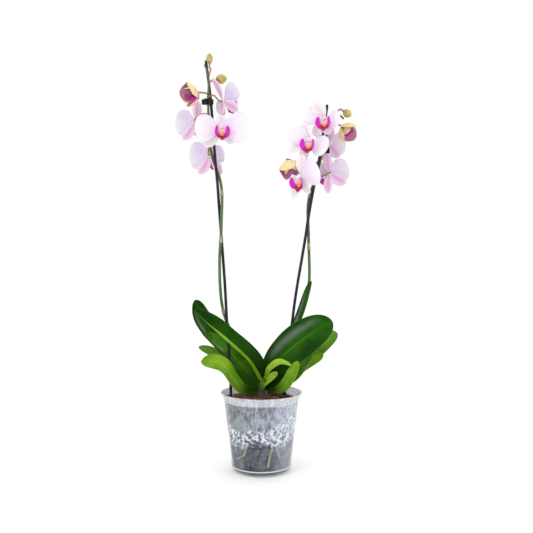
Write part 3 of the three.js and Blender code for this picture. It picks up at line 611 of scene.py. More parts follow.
def add_piece(name, bm, node, finishes, rounds=0, crisp=None):
    """Turns a finished mesh into a piece of the plant that stands for a node of the frame."""
    bmesh.ops.recalc_face_normals(bm, faces=bm.faces)
    bmesh.ops.transform(bm, matrix=Matrix.Scale(MM, 4), verts=bm.verts)
    for face in bm.faces:
        face.smooth = True
    piece = plain_object(name, bm)
    for made in finishes:
        piece.data.materials.append(made)
    if crisp:
        piece.data.set_sharp_from_angle(angle=math.radians(crisp))
    if rounds:
        smooth = piece.modifiers.new("Rounding", "SUBSURF")
        smooth.levels = smooth.render_levels = rounds
    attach(piece, "root")
    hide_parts(node)


def around(radius, turn, z=0.0):
    """A point at a distance and a bearing from the pot's axis."""
    return Vector((radius * math.cos(turn), radius * math.sin(turn), z))


def turned(centre, *turns):
    """A place for a shape: first turned about the named axes in order, then moved."""
    turn = Matrix.Identity(4)
    for axis, angle in turns:
        turn = Matrix.Rotation(angle, 4, axis) @ turn
    return Matrix.Translation(centre) @ turn


def turn_to(face, up):
    """A bloom's own right, up and front, as a turn to the plant's directions."""
    front = Vector(face).normalized()
    right = Vector(up).cross(front).normalized()
    return Matrix((right, front.cross(right), front)).transposed()


# ---- pot and bark ------------------------------------------------------------------------------------
# profiles as pairs of radius and height
POT_OUTSIDE = ((0, 0), (40, 0), (42.2, 3), (43.2, 6.4), (43.5, 7), (44, 7.6), (43.9, 8.4), (55, 104), (55.7, 105),
               (55.7, 105.6), (55.2, 106.2), (55.3, 106.8), (56.1, 107.4), (56.4, 108), (59.3, 113), (59.9, 113.6),
               (60, 114.3), (59.6, 114.9), (58.8, 115))
POT_INSIDE = ((58, 114.6), (57.6, 113.8), (55.4, 107.8), (54.2, 105.2), (53.7, 104), (42.4, 7.8), (40.4, 2.6),
              (0, 2.4))
FOOT_RADIUS, NECK_RADIUS, FOOT_HEIGHT, NECK_HEIGHT = 43.5, 55, 7, 104
WALL = 1.2
DRAINS, DRAIN_RADIUS, DRAIN_ORBIT = 8, 4, 30
BARK_LEVEL, MOUND, MOUND_RADIUS = 103, 5, 52


def wall_radius(z):
    """The pot's outer radius at a height."""
    return FOOT_RADIUS + (NECK_RADIUS - FOOT_RADIUS) * (z - FOOT_HEIGHT) / (NECK_HEIGHT - FOOT_HEIGHT)


def mound_height(radius):
    return BARK_LEVEL + MOUND * math.cos(math.pi / 2 * min(1, radius / MOUND_RADIUS))


def lathe(bm, profile, steps):
    """Turns a profile of radii and heights round the pot's axis."""
    points = [bm.verts.new((radius, 0, height)) for radius, height in profile]
    edges = [bm.edges.new(pair) for pair in zip(points, points[1:])]
    bmesh.ops.spin(bm, geom=points + edges, axis=(0, 0, 1), cent=(0, 0, 0), angle=FULL_TURN, steps=steps,
                   use_merge=True, use_duplicate=False)
    bmesh.ops.remove_doubles(bm, verts=bm.verts, dist=0.001)
    bmesh.ops.recalc_face_normals(bm, faces=bm.faces)


def drill(bm, centres, radius, depth):
    """Cuts a round hole through the floor at each centre."""
    drills = bmesh.new()
    for centre in centres:
        bmesh.ops.create_cone(drills, cap_ends=True, segments=20, radius1=radius, radius2=radius, depth=depth,
                              matrix=Matrix.Translation(centre))
    body, tools = plain_object("drilled", bm), plain_object("drills", drills)
    cut = body.modifiers.new("Holes", "BOOLEAN")
    cut.object, cut.operation, cut.solver = tools, "DIFFERENCE", "EXACT"
    bpy.context.view_layer.update()
    drilled = new_mesh()
    drilled.from_mesh(body.evaluated_get(bpy.context.evaluated_depsgraph_get()).to_mesh())
    for spare in (body, tools):
        bpy.data.objects.remove(spare)
    return drilled


def pot_wall(settings):
    bm = bmesh.new()
    lathe(bm, POT_OUTSIDE + POT_INSIDE, settings.sides)
    centres = [around(DRAIN_ORBIT, FULL_TURN * (i + 0.5) / DRAINS) for i in range(DRAINS)]
    bm = drill(bm, centres, DRAIN_RADIUS, depth=8)
    add_piece("pot_wall", bm, "pot", [pot_finish("clear_pot", settings.haze)], crisp=32)


def add_copy(bm, shape, place_at):
    """Adds a copy of a small finished shape at a place."""
    copy, carrier = shape.copy(), bpy.data.meshes.new("copy")
    bmesh.ops.transform(copy, matrix=place_at, verts=copy.verts)
    copy.to_mesh(carrier)
    copy.free()
    bm.from_mesh(carrier)
    bpy.data.meshes.remove(carrier)


def pot_drops(settings):
    """Beads of water on the inside of the wall: thick in the band above the clear part."""
    rng = random.Random(5)
    bm, drop = new_mesh(), new_mesh()
    bmesh.ops.create_uvsphere(drop, u_segments=7, v_segments=5, radius=1)
    for _ in range(settings.drops):
        z = rng.gauss(59, 6) if rng.random() < 0.75 else rng.uniform(50, 100)
        if not 40 < z < 101:
            continue
        turn = rng.uniform(0, FULL_TURN)
        size = rng.uniform(0.35, 0.6) if rng.random() < 0.6 else rng.uniform(0.6, 1.05)
        stretch = Matrix.Diagonal((0.45 * size, size, size * rng.uniform(1.0, 1.7), 1))
        add_copy(bm, drop, turned(around(wall_radius(z) - WALL - 0.1, turn, z), ("Z", turn)) @ stretch)
    add_piece("pot_drops", bm, "pot", [drop_finish("water_drops")])


def add_chip(bm, rng, size, place_at):
    """One flake of bark: a block with its corners out of true and its edges broken."""
    made = bmesh.ops.create_cube(bm, size=1)["verts"]
    for vert in made:
        jog = Vector([rng.uniform(0.72, 1.1) for _ in range(3)])
        vert.co = Vector(a * b * c for a, b, c in zip(vert.co, size, jog))
    broken = bmesh.ops.bevel(bm, geom=edges_of(made), offset=min(size) * 0.16, affect="EDGES", segments=1,
                             profile=0.5, material=-1)
    verts = {vert for face in broken["faces"] for vert in face.verts}
    bmesh.ops.transform(bm, verts=list(verts), matrix=place_at)


def bark_body():
    """The mass of the mix, a little way in from the wall: dark bark, darkened further with painted shade."""
    bm = new_mesh()
    sides = [(wall_radius(z) - 4.6, z) for z in (60, 98)]
    lathe(bm, [(0, 3), (38, 3), (40, 9), *sides, (40, 101), (24, 104), (0, 105.5)], steps=40)
    # near-black colours: painted shade deep among the chips
    add_piece("bark_body", bm, "bark",
              [bark_finish("bark_deep", paint(52, 38, 34), paint(24, 17, 16), paint(44, 32, 28))])


def side_chips(settings, keep_off):
    """Chips that press against the wall, with their flat sides to it."""
    rng = random.Random(21)
    bm = new_mesh()
    lean = math.atan2(NECK_RADIUS - FOOT_RADIUS, NECK_HEIGHT - FOOT_HEIGHT)
    for i in range(settings.side_chips):
        z = 13.5 + 85 * (i + rng.random()) / settings.side_chips
        turn = i * GOLDEN_TURN + rng.uniform(-0.2, 0.2)
        size = (rng.uniform(3, 4.6), rng.uniform(8, 17), rng.uniform(5, 10))
        out = wall_radius(z) - WALL - size[0] / 2 - 0.9
        if any((around(out, turn, z) - spot).length < 7 for spot in keep_off):
            out -= 3.4
        add_chip(bm, rng, size, turned(around(out, turn, z), ("X", rng.gauss(0, 0.5)), ("Y", lean), ("Z", turn)))
    add_piece("bark_side_chips", bm, "bark",
              [bark_finish("bark_damp", paint(136, 138, 156), paint(42, 42, 54), paint(98, 100, 116))])


def top_chips(settings):
    """Chips and fibres that lie on the mound."""
    rng = random.Random(8)
    bm = new_mesh()
    for i in range(settings.top_chips):
        radius = 51 * math.sqrt(rng.random())
        long = rng.uniform(9, 18)
        if i % 3:
            size = (long, long * rng.uniform(0.35, 0.6), rng.uniform(2.6, 4.2))
        else:
            size = (long * 1.3, rng.uniform(1.6, 2.6), rng.uniform(1.2, 1.8))
        radius = min(radius, 52.5 - size[0] * 0.42)
        centre = around(radius, i * GOLDEN_TURN, mound_height(radius) - 0.5 + rng.uniform(-1.2, 1.4))
        turns = ("X", rng.gauss(0, 0.3)), ("Y", rng.gauss(0, 0.22)), ("Z", rng.uniform(0, 6.3))
        add_chip(bm, rng, size, turned(centre, *turns))
    add_piece("bark_top_chips", bm, "bark",
              [bark_finish("bark_red", paint(176, 112, 76), paint(62, 30, 18), paint(136, 78, 50))])


# ---- crown and roots ---------------------------------------------------------------------------------
ROOTS = (  # stations of each root along the wall: bearing in degrees and height
    ((-66, 62), (-60, 43), (-51, 24)),
    ((-69, 50), (-73, 32), (-77, 14)),
    ((-164, 42), (-140, 43), (-120, 42), (-124, 32), (-146, 22)),
    ((-12, 40), (-30, 30), (-46, 26)),
    ((95, 60), (109, 38), (102, 16)),
)


def root_line(stations):
    """A root leaves the crown, dives to the wall and runs on along it."""
    bearing, top = stations[0]
    dive = [(3, bearing, 98), (14, bearing, 88), (30, bearing, top + 16)]
    wall = [(wall_radius(z) - WALL - 2.1, degrees, z) for degrees, z in stations]
    return Path([around(radius, math.radians(degrees), z) for radius, degrees, z in dive + wall])


def crown_and_roots(settings):
    bm = new_mesh()
    sweep(bm, ((0, 0, 93), (0, 0, 112), (0.5, 0, 129)), lambda s: 8.6 - 3.6 * s + 0.5 * math.sin(s * 19), 20, 2)
    for i, root in enumerate(ROOTS):
        sweep(bm, root_line(root), lambda s: settings.root * (1 - 0.16 * s + 0.07 * math.sin(s * 23 + i)),
              number=1)
    add_piece("crown_and_roots", bm, "crown",
              [crown_finish("crown_stem"), root_finish("root_skin")])


# ---- leaves ------------------------------------------------------------------------------------------
# a blade's form: its width at the foot, where along it is widest, and how full its tip is
LEAF_FORM = (0.34, 0.6, 2.3)
LEAVES = {
    "leaf_left_fold": dict(
        width=44, fold=0.75, form=(0.8, 0.32, 2.1), skins=("dark", "sunny"),
        across=((0.23, 0.94, 0.23), (0.4, 0.82, 0.4)),
        spine=((-4, -5, 133), (-16.5, -13, 160), (-32, -19, 177), (-49.5, -22, 193), (-68, -23, 210),
               (-95.5, -22, 237))),
    "leaf_right_broad": dict(
        width=55, fold=0.24, form=LEAF_FORM, skins=("dark", "middle"), across=((0.56, -0.35, -0.74),),
        spine=((3, -3, 128), (22.5, -8, 160), (41.5, -9, 178), (62, -10, 194), (82, -10, 208), (103, -9, 220))),
    "leaf_right_upright": dict(
        width=32, fold=0.35, form=LEAF_FORM, skins=("dark", "middle"),
        across=((-0.2, -0.8, -0.3), (0.4, -0.8, -0.1)),
        spine=((4, 5, 126), (33, 17, 165), (51, 20, 200), (64, 18, 234), (74, 14, 277))),
    "leaf_left_back": dict(
        width=34, fold=0.25, form=(0.34, 0.72, 2.6), skins=("dark", "middle"),
        across=((0.4, 0.85, 0.4), (0.65, 0.65, 0.5)),
        spine=((-4, 6, 124), (-24, 22, 143), (-53, 31, 170), (-76.5, 33, 197), (-92, 31, 221), (-99.5, 27, 248))),
    "leaf_right_back": dict(
        width=44, fold=0.25, form=LEAF_FORM, skins=("pale", "pale"), across=((0.3, -0.55, -0.75),),
        spine=((4, 5, 122), (42, 33, 144), (70, 38, 165), (93, 38, 183), (115, 36, 197))),
    "leaf_left_middle": dict(
        width=40, fold=0.25, form=(0.6, 0.35, 1.7), skins=("middle", "pale"),
        across=((0.62, 0.35, 0.7), (0.2, 0.92, 0.3)),
        spine=((-3, -1, 121), (-17, 2, 138), (-31, 5, 154), (-50, 9, 175), (-69, 10, 188), (-88, 10, 201))),
    "leaf_left_low": dict(
        width=27, fold=0.3, form=(0.34, 0.78, 2.3), skins=("bright", "pale"),
        across=((0.45, 0.45, 0.7), (0.1, 0.7, 0.65)),
        spine=((-6, -6, 116), (-29, -18, 123), (-43, -25, 140), (-57, -28, 158.5), (-86, -28, 164))),
    "leaf_left_small": dict(
        width=24, fold=0.3, form=LEAF_FORM, skins=("pale", "pale"), across=((0.3, 0.8, 0.5),),
        spine=((-4, 4, 116), (-28, 21, 130), (-50.5, 29, 149), (-74.5, 31, 167), (-95, 30, 177))),
    "leaf_right_bright": dict(
        width=18, fold=0.35, form=LEAF_FORM, skins=("bright", "pale"),
        across=((0.55, -0.45, -0.5), (0.75, -0.35, -0.5)),
        spine=((9, -7, 117), (25, -17, 121.5), (36, -23, 130), (44, -25, 145), (53, -24, 163.5))),
    "leaf_right_young": dict(
        width=15, fold=0.6, form=LEAF_FORM, skins=("sunny", "dark"), across=((0.3, -0.8, -0.5),),
        spine=((5, -10, 130), (11, -18, 148), (25.5, -24, 160), (43, -27, 157.5))),
    "leaf_right_round": dict(
        width=32, fold=0.3, form=LEAF_FORM, skins=("bright", "pale"), across=((0.2, -0.55, -0.7),),
        spine=((4, 2, 118), (42, 20, 138), (69, 16, 157), (92, 13, 167))),
    "leaf_right_pale": dict(
        width=31, fold=0.3, form=LEAF_FORM, skins=("pale", "pale"), across=((0.5, -0.6, -0.6),),
        spine=((11, -3, 120), (38, -4, 135), (56, -5, 153), (66, -5, 166), (74, -4, 179))),
    "leaf_right_inner": dict(
        width=17, fold=0.3, form=LEAF_FORM, skins=("dark", "middle"), across=((0.5, -0.6, -0.5),),
        spine=((10.5, -6, 126), (23, -11, 136), (37, -12, 149))),
    "leaf_front_small": dict(
        width=13, fold=0.3, form=(0.8, 0.6, 2.3), skins=("sunny", "pale"), across=((0.5, -0.5, -0.6),),
        spine=((1, -4, 123), (4, -12, 130), (11, -18, 137), (23.5, -21, 147))),
}
LEAF_TONES = {  # deep, light, midrib and foot; the dark foot colours are painted shade near the crown
    "dark": (paint(22, 56, 10), paint(42, 92, 18), paint(92, 142, 56), paint(30, 58, 12)),
    "middle": (paint(38, 84, 10), paint(76, 132, 24), paint(124, 172, 60), paint(36, 66, 12)),
    "bright": (paint(86, 134, 16), paint(136, 178, 50), paint(174, 204, 96), paint(24, 46, 8)),
    "pale": (paint(88, 138, 40), paint(128, 172, 66), paint(160, 194, 104), paint(26, 50, 10)),
    "sunny": (paint(120, 166, 28), paint(164, 200, 64), paint(180, 208, 100), paint(110, 152, 26)),
}
YOUNG_GLOSS = 0.4  # how glossy the paler tones are, as a share of the dark one


def leaf_blade(name, leaf, settings, phase):
    bm = new_mesh()
    shape = {key: leaf[key] for key in ("spine", "across", "width", "form", "fold")}
    surface = blade_surface(wave=leaf["width"] * 0.03, crease=0.9, ruffle=0.5, phase=phase, **shape)
    add_blade(bm, surface, 26, 12, settings.leaf_thickness / MM)
    gloss = {tone: settings.gloss * (1 if tone == "dark" else YOUNG_GLOSS) for tone in leaf["skins"]}
    finishes = [leaf_finish(f"leaf_{tone}", *LEAF_TONES[tone], gloss[tone]) for tone in leaf["skins"]]
    slot = "leaf_dark" if leaf["skins"][0] == "dark" or name == "leaf_left_middle" else "leaf_young"
    add_piece(f"{name}_blade", bm, name, finishes, rounds=1)


# ---- flower spikes, stakes and clips -----------------------------------------------------------------
SPRAYS = {
    "left": dict(
        stake=((-44.5, -8, 114), (-46, -7.2, 154), (-48.2, -6.4, 191), (-50.6, -5.7, 226), (-53, -4.8, 271),
               (-56.1, -3.9, 314), (-61.2, -2.5, 381), (-63.8, -1.7, 418), (-67.6, -0.8, 459), (-74, 0.9, 544),
               (-80.6, 2, 597)),
        stem=((-3, 5, 119), (-17, 19, 150), (-36, 16, 185), (-52, 4, 220), (-57.8, -1, 244), (-60.5, -3.6, 277.6),
              (-60.8, -5, 298), (-60.6, -7, 313.5), (-58.5, -9, 343), (-57.6, -8.3, 371), (-57.1, -5, 396),
              (-58.2, -0.2, 414), (-61.4, 3.7, 429), (-66.6, 4.4, 443.5), (-71.1, 4.2, 456.5), (-75, 2, 473.6)),
        tip=((-75, 2, 473.6), (-76.6, 0, 498), (-77, -3, 526.5), (-76.9, -4.6, 548), (-76.2, -4.9, 562),
             (-76.8, -4.6, 576.7), (-79.5, -4.2, 585.5), (-82.5, -4, 591.5)),
        joints=(0.34, 0.62, 0.8),
        stalks={
            "bloom_left_front": ((-76, 0.5, 500), (-66, -9, 506)),
            "bloom_left_outer": ((-76.6, -2, 520), (-86, 0, 521)),
            "bloom_left_top": ((-76.9, -4.6, 545), (-68, -13, 545)),
            "bloom_left_low": ((-75.6, 1, 484), (-77, 6, 478)),
            "bloom_left_half": ((-77, -4.6, 549), (-79, -4, 550)),
            "bud_left_top": ((-76.6, -4.7, 576), (-73, -5, 585)),
            "bud_left_side": ((-76.2, -4.8, 566), (-68, -2, 570)),
        }),
    "right": dict(
        stake=((34.2, 9, 118), (45.7, 5, 220), (49.4, 3.5, 249.5), (53.3, 2.5, 275), (58.4, 1.5, 305),
               (65, 0.5, 345), (68.3, 0, 368), (76, 0, 412), (83.6, 0, 450.7), (89.7, 0, 489.5), (95.7, 0, 532.5)),
        stem=((3, 5, 119), (20, 22, 150), (39, 30, 184), (55, 32, 217), (66, 28, 248), (70.9, 21, 274),
              (71.3, 16, 290), (70.6, 11.5, 312), (69.6, 7.6, 333), (69.2, 6.4, 349.5), (68.6, 5.8, 365.5),
              (68, 5.2, 379), (69.4, 5, 396), (72.4, 5, 408), (78, 5.2, 424), (83, 5.1, 440)),
        tip=((83, 5.1, 440), (87.2, 5, 457.5), (91.5, 4, 473.5), (95, 2.4, 489), (98, 1, 498), (102, 0, 505),
             (110.2, 0, 515), (114, 0, 518.6), (117.2, 0, 516.8), (120, 0, 513.4)),
        joints=(0.42, 0.66, 0.88),
        stalks={
            "bloom_right_top": ((98, 1, 499), (98, -7, 505)),
            "bloom_right_middle": ((92, 3.5, 476), (95, -5, 481), (80, -15, 481)),
            "bloom_right_low": ((83, 5, 442), (76, 6, 441), (68, -8, 436)),
            "bloom_right_back": ((94, 2.8, 484), (98, 8, 484)),
            "bloom_right_outer": ((82, 5.1, 437), (88, 3, 431)),
            "bloom_right_half": ((86, 5, 452), (74, 7, 450), (54, 3, 451)),
            "bloom_right_peach": ((104, 0, 508), (108, 1, 506)),
            "bud_right": ((110.2, 0, 515), (110.8, 0, 522)),
        }),
}
CLIPS = {"left": ((-75.2, -1.2, 538), 0.5), "right": ((88.3, 1.8, 468), 2.6)}  # place and turn
STAKE_SUNK = 62  # how deep in the bark a stake stands
STALK_SEAT = 1.2  # how far behind a bloom's heart its stalk ends
STALK_LEAD, HALF_LEAD = 6.3, 2.5  # the straight end of a stalk behind an open bloom or a bud, and a half-open one


def stalk_end(name):
    """Two points that bring a stalk up to the back of its bloom or to the foot of its bud."""
    flower = BUDS.get(name) or HALF_BLOOMS.get(name) or BLOOMS[name]
    front = Vector(flower["face"]).normalized()
    back = flower["length"] / 2 - 0.6 if name in BUDS else STALK_SEAT
    lead = HALF_LEAD if name in HALF_BLOOMS else STALK_LEAD
    return [Vector(flower["at"]) - front * (back + run) for run in (lead, 0)]


def stem_joint(bm, path, share, radius):
    """A joint of the stem: a pale ring and a pointed scale leaf that hugs the stem above it."""
    point, heading = path.at(share), path.heading(share)
    ring = Path([point - heading * 1.2, point, point + heading * 1.2])
    sweep(bm, ring, lambda s: radius * (1.0 + 0.28 * math.sin(math.pi * s)), 14, 0.5, 2)
    front = (Vector((0, -1, 0)) - heading * -heading.y).normalized()
    side = heading.cross(front)

    def scale_leaf(s, t):
        wrap = t * 1.5 * (1 - s) ** 0.6
        out = radius * (1.22 - 0.12 * s)
        return point + heading * (s * 12 - 0.6) + (front * math.cos(wrap) + side * math.sin(wrap)) * out
    add_blade(bm, scale_leaf, 6, 6, 0.5, 2, 2)


def flower_spike(side, spray, settings):
    bm = new_mesh()
    stem, radius = Path(spray["stem"]), settings.spike / MM
    sweep(bm, stem, lambda s: radius * (1.06 - 0.14 * s), 14, 3.0)
    sweep(bm, spray["tip"], lambda s: radius * (0.9 - 0.28 * s))
    for share in spray["joints"]:
        stem_joint(bm, stem, share, radius * (1.06 - 0.14 * share))
    for name, stalk in spray["stalks"].items():
        points = [*stalk, *stalk_end(name)]
        sweep(bm, points, lambda s: 1.25 + 0.35 * max(0, 1 - s * 7) + 0.3 * max(0, s * 4 - 3), 10, 1.6, 1)
        foot = Vector(points[0])
        add_oval(bm, foot, Vector(points[1]) - foot, 2.3, 4.2)
    add_piece(f"flower_spike_{side}", bm, f"spike_{side}",
              [stem_finish("flower_stem"), stalk_finish("bloom_stalk"), joint_finish("stem_joint")])


def support_stake(side, spray, settings):
    bm = new_mesh()
    foot, top = Vector(spray["stake"][0]), Vector(spray["stake"][-1])
    foot.z -= STAKE_SUNK
    top += Vector((-0.3 if side == "left" else 0.3, 0, 2.2))
    sweep(bm, [foot, *spray["stake"], top], lambda s: settings.stake / MM, 16, 6.0)
    add_piece(f"support_stake_{side}", bm, f"stake_{side}", [stake_finish("stake_coat")])


def add_block(bm, size, centre, turn=0.0, bevel=0.5):
    made = bmesh.ops.create_cube(bm, size=1)["verts"]
    bmesh.ops.scale(bm, vec=size, verts=made)
    rounded = bmesh.ops.bevel(bm, geom=edges_of(made), offset=bevel, affect="EDGES", segments=3, profile=0.5,
                              material=-1)
    verts = list({vert for face in rounded["faces"] for vert in face.verts})
    bmesh.ops.transform(bm, matrix=turned(centre, ("Z", turn)), verts=verts)


def stem_clip(side, centre, turn):
    """A sprung clip: two jaws round stem and stake, a pin, and two ribbed finger grips."""
    bm = new_mesh()
    for sign in (1, -1):
        add_block(bm, (8.6, 2.0, 8), (0.2, sign * 3.5, 0), sign * -0.05, 0.7)
        add_block(bm, (1.8, 3.6, 7.4), (4.3, sign * 2.0, 0), sign * 0.35, 0.6)
        add_block(bm, (7.6, 1.6, 8), (-6.8, sign * 3.6, 0), sign * -0.42, 0.55)
        for rib in (-9.6, -8.4, -7.2, -6.0):
            add_block(bm, (0.5, 0.9, 6.8), (rib, sign * (5.5 - (rib + 9.6) * 0.42), 0), sign * -0.42, 0.2)
    add_block(bm, (2.6, 6.2, 6.0), (-3.6, 0, 0), 0, 0.7)
    pin = bmesh.ops.create_cone(bm, cap_ends=True, segments=16, radius1=1.1, radius2=1.1, depth=7.8,
                                matrix=Matrix.Translation((-3.6, 0, 0)))["verts"]
    rims = [edge for edge in edges_of(pin) if abs(edge.verts[0].co.z - edge.verts[1].co.z) < 0.1]
    bmesh.ops.bevel(bm, geom=rims, offset=0.3, affect="EDGES", segments=2, profile=0.5, material=-1)
    bmesh.ops.transform(bm, matrix=turned(centre, ("Z", turn)), verts=bm.verts)
    add_piece(f"stem_clip_{side}", bm, f"clip_{side}", [clip_finish("clip_plastic")], crisp=40)


# ---- blooms and buds ---------------------------------------------------------------------------------
# A bloom's tips are measured from its heart: to the right, away and up, and then the tepal's width.
BLOOMS = {
    "bloom_left_front": dict(
        at=(-57, -30, 497), face=(0.2, -0.97, 0.05), up=(0, 0, 1), dorsal=(0, 14, 20, 16),
        petal_left=(-37.3, 1, -3, 40), petal_right=(38.4, 1, -2, 44), sepal_left=(-23.5, 7, -26, 20),
        sepal_right=(18, 9, -21, 18)),
    "bloom_left_outer": dict(
        at=(-97, 22, 514), face=(0.2, 0.96, -0.1), up=(0.05, 0.1, 1), dorsal=(1.5, -2, 30.5, 15),
        petal_left=(-31.8, 5, 0, 40), petal_right=(15, 19, 12, 30), sepal_left=(-19, -3, -28, 17),
        sepal_right=(12, -5, -24, 16)),
    "bloom_left_top": dict(
        at=(-55, -4, 539), face=(0.7, 0.7, 0.15), up=(-0.42, 0.05, 0.91), dorsal=(-15, -5, 32, 12),
        petal_left=(-11, 20, -12, 26), petal_right=(18, -14, 20, 31), sepal_left=(-4, -1, -19, 14),
        sepal_right=(22.5, -17, -17, 17)),
    "bloom_left_low": dict(
        at=(-76, 20, 464), face=(0.25, 0.96, 0), up=(0, 0, 1), dorsal=(-2, -1, 28, 16),
        petal_left=(-32, 4, 0, 41), petal_right=(20, 8, 5, 28), sepal_left=(-16, -2, -29, 17),
        sepal_right=(17, -7, -30, 13)),
    "bloom_right_top": dict(
        at=(91, -26, 509), face=(-0.3, -0.94, 0.15), up=(0, 0.1, 1), dorsal=(-15.5, 3, 25, 20),
        petal_left=(-29, 9, 8, 28), petal_right=(20, -7, -4, 28), sepal_left=(-16, 8, -22, 16),
        sepal_right=(5, 4, -21, 16)),
    "bloom_right_middle": dict(
        at=(70, -32, 477), face=(-0.35, -0.92, 0.15), up=(0.1, 0.1, 1), dorsal=(-10.3, 4, 27, 14),
        petal_left=(-28, 10, 14, 28), petal_right=(23, -8, -13, 31), sepal_left=(-31, 7, -13, 15),
        sepal_right=(-13.5, 5, -29, 15)),
    "bloom_right_low": dict(
        at=(56, -30, 428), face=(-0.55, -0.78, -0.25), up=(-0.1, -0.2, 1), dorsal=(2.5, -6, 30, 17),
        petal_left=(-7, 27, -14, 24), petal_right=(26, -11, 8.5, 39), sepal_left=(-11.5, 17, -30, 15),
        sepal_right=(12, 3, -25, 14)),
    "bloom_right_back": dict(
        at=(101, 18, 480), face=(0.1, 0.97, 0.1), up=(0, 0, 1), dorsal=(0, -2, 27, 15),
        petal_left=(-22, 7, 2, 28), petal_right=(25, 7, 1.5, 34), sepal_left=(-11, -1, -24, 15),
        sepal_right=(14, 0, -20, 16)),
    "bloom_right_outer": dict(
        at=(99, 6, 436), face=(-0.2, 0.97, 0), up=(0, 0, 1), dorsal=(-2, 5, 31, 15),
        petal_left=(-20, 12, 6, 28), petal_right=(30.5, 6, 8.5, 34), sepal_left=(-1.5, -3, -30, 14),
        sepal_right=(25, 2, -15.5, 19)),
}
HALF_BLOOMS = {
    "bloom_left_half": dict(at=(-94.5, -3, 551), face=(-0.68, -0.66, -0.32), up=(-0.5, 0.7, 0.48), reach=28,
                            open=36, width=25),
    "bloom_right_half": dict(at=(37.5, -12, 450.5), face=(0.3, -0.4, -0.86), up=(-0.2, -0.9, 0.4), reach=27,
                             open=31, width=24),
    "bloom_right_peach": dict(at=(117.5, 2, 503), face=(0.6, -0.5, -0.62), up=(0.3, -0.5, 0.8), reach=27.7,
                              open=32, width=23),
}
BUDS = {
    "bud_left_top": dict(at=(-74.9, -4.5, 600), face=(0, 0, 1), radius=5, length=15),
    "bud_left_side": dict(at=(-58, 2, 572), face=(1, 0.4, 0.25), radius=7, length=17),
    "bud_right": dict(at=(125, 0, 521.5), face=(0.8, 0, -0.5), radius=6.2, length=13.5),
}
PETAL_FORM, SEPAL_FORM = (0.12, 0.55, 2.8), (0.24, 0.5, 1.9)
CUP = {  # a half-open bloom's tepals: turn round the bloom's axis, then width and length as shares
    "dorsal": (0, 1.3, 0.9), "petal_right": (58, 0.7, 0.75), "sepal_right": (126, 1.15, 1.0),
    "sepal_left": (-126, 1.15, 1.0), "petal_left": (-58, 0.7, 0.75),
}
HEART_RADIUS, LAYER = 2.8, 0.75  # where tepals begin, and how far petals lie in front of it and sepals behind
HALF_COLUMN, HALF_LIP = 0.75, 0.82  # sizes in a half-open bloom, as shares of an open one's


def open_tepal(bloom, key, phase):
    """The blade of an open bloom's petal or sepal, from its heart to its measured tip."""
    petal = key.startswith("petal")
    front = Vector(bloom["face"]).normalized()
    tip, width = Vector(bloom[key][:3]), bloom[key][3]
    layer = front * (LAYER if petal else -LAYER)
    middle = tip * 0.5 + front * tip.length * 0.07
    spine = [tip.normalized() * HEART_RADIUS + layer, middle + layer, tip + layer]
    if petal:
        return blade_surface(spine, [tip.cross(front)], width, PETAL_FORM, cup=0.1, wave=width * 0.015, ruffle=0.8,
                             crease=0.7, phase=phase)
    return blade_surface(spine, [tip.cross(front)], width, SEPAL_FORM, cup=0.1, wave=0.2, ruffle=0.35, crease=0.5,
                         phase=phase)


def cupped_tepal(bloom, key, phase):
    """The blade of a half-open bloom's petal or sepal: it leans out only a little way and bulges."""
    petal = key.startswith("petal")
    front = Vector(bloom["face"]).normalized()
    turn, width, length = CUP[key]
    lean = math.radians(bloom["open"] - (9 if petal else 0))
    reach = bloom["reach"] * length
    side = around(reach * math.sin(lean), math.radians(90 - turn), reach * math.cos(lean))
    tip = turn_to(bloom["face"], bloom["up"]) @ side
    outward = (tip - front * tip.dot(front)).normalized()
    layer = front * (LAYER if petal else -LAYER)
    spine = [outward * HEART_RADIUS + layer, tip * 0.5 + outward * reach * 0.24 + layer, tip + layer]
    return blade_surface(spine, [tip.cross(front)], bloom["width"] * width, PETAL_FORM if petal else SEPAL_FORM,
                         cup=0.35, wave=0.4, ruffle=0.5, crease=0.3, phase=phase)


def tepals_and_column(name, bloom, finishes, settings):
    bm = new_mesh()
    half = name in HALF_BLOOMS
    tepal, size = (cupped_tepal, HALF_COLUMN) if half else (open_tepal, 1.0)
    for i, key in enumerate(CUP):
        pair = (0, 1) if key.startswith("petal") else (2, 3)
        add_blade(bm, tepal(bloom, key, 1.9 * i + bloom["at"][0]), 16, 12, settings.petal / MM, *pair)
    turn = turn_to(bloom["face"], bloom["up"])
    line = [turn @ (Vector(point) * size) for point in ((0, 0, -1.5), (0, 0.7, 3), (0, 0.5, 6.5), (0, -0.8, 9))]
    sweep(bm, line, lambda s: size * (2.3 + 0.6 * math.sin(math.pi * s) + 0.3 * s), 14, 1.2, 4)
    add_oval(bm, turn @ (Vector((0, -1.6, 8.8)) * size), turn @ Vector((0, -0.8, 0.6)), 1.7 * size, 3.6 * size, 4)
    add_oval(bm, Vector((0, 0, 0)), bloom["face"], 3.1, 4.6, 4)
    bmesh.ops.translate(bm, vec=bloom["at"], verts=bm.verts)
    add_piece(f"{name}_tepals", bm, name, finishes, rounds=1)


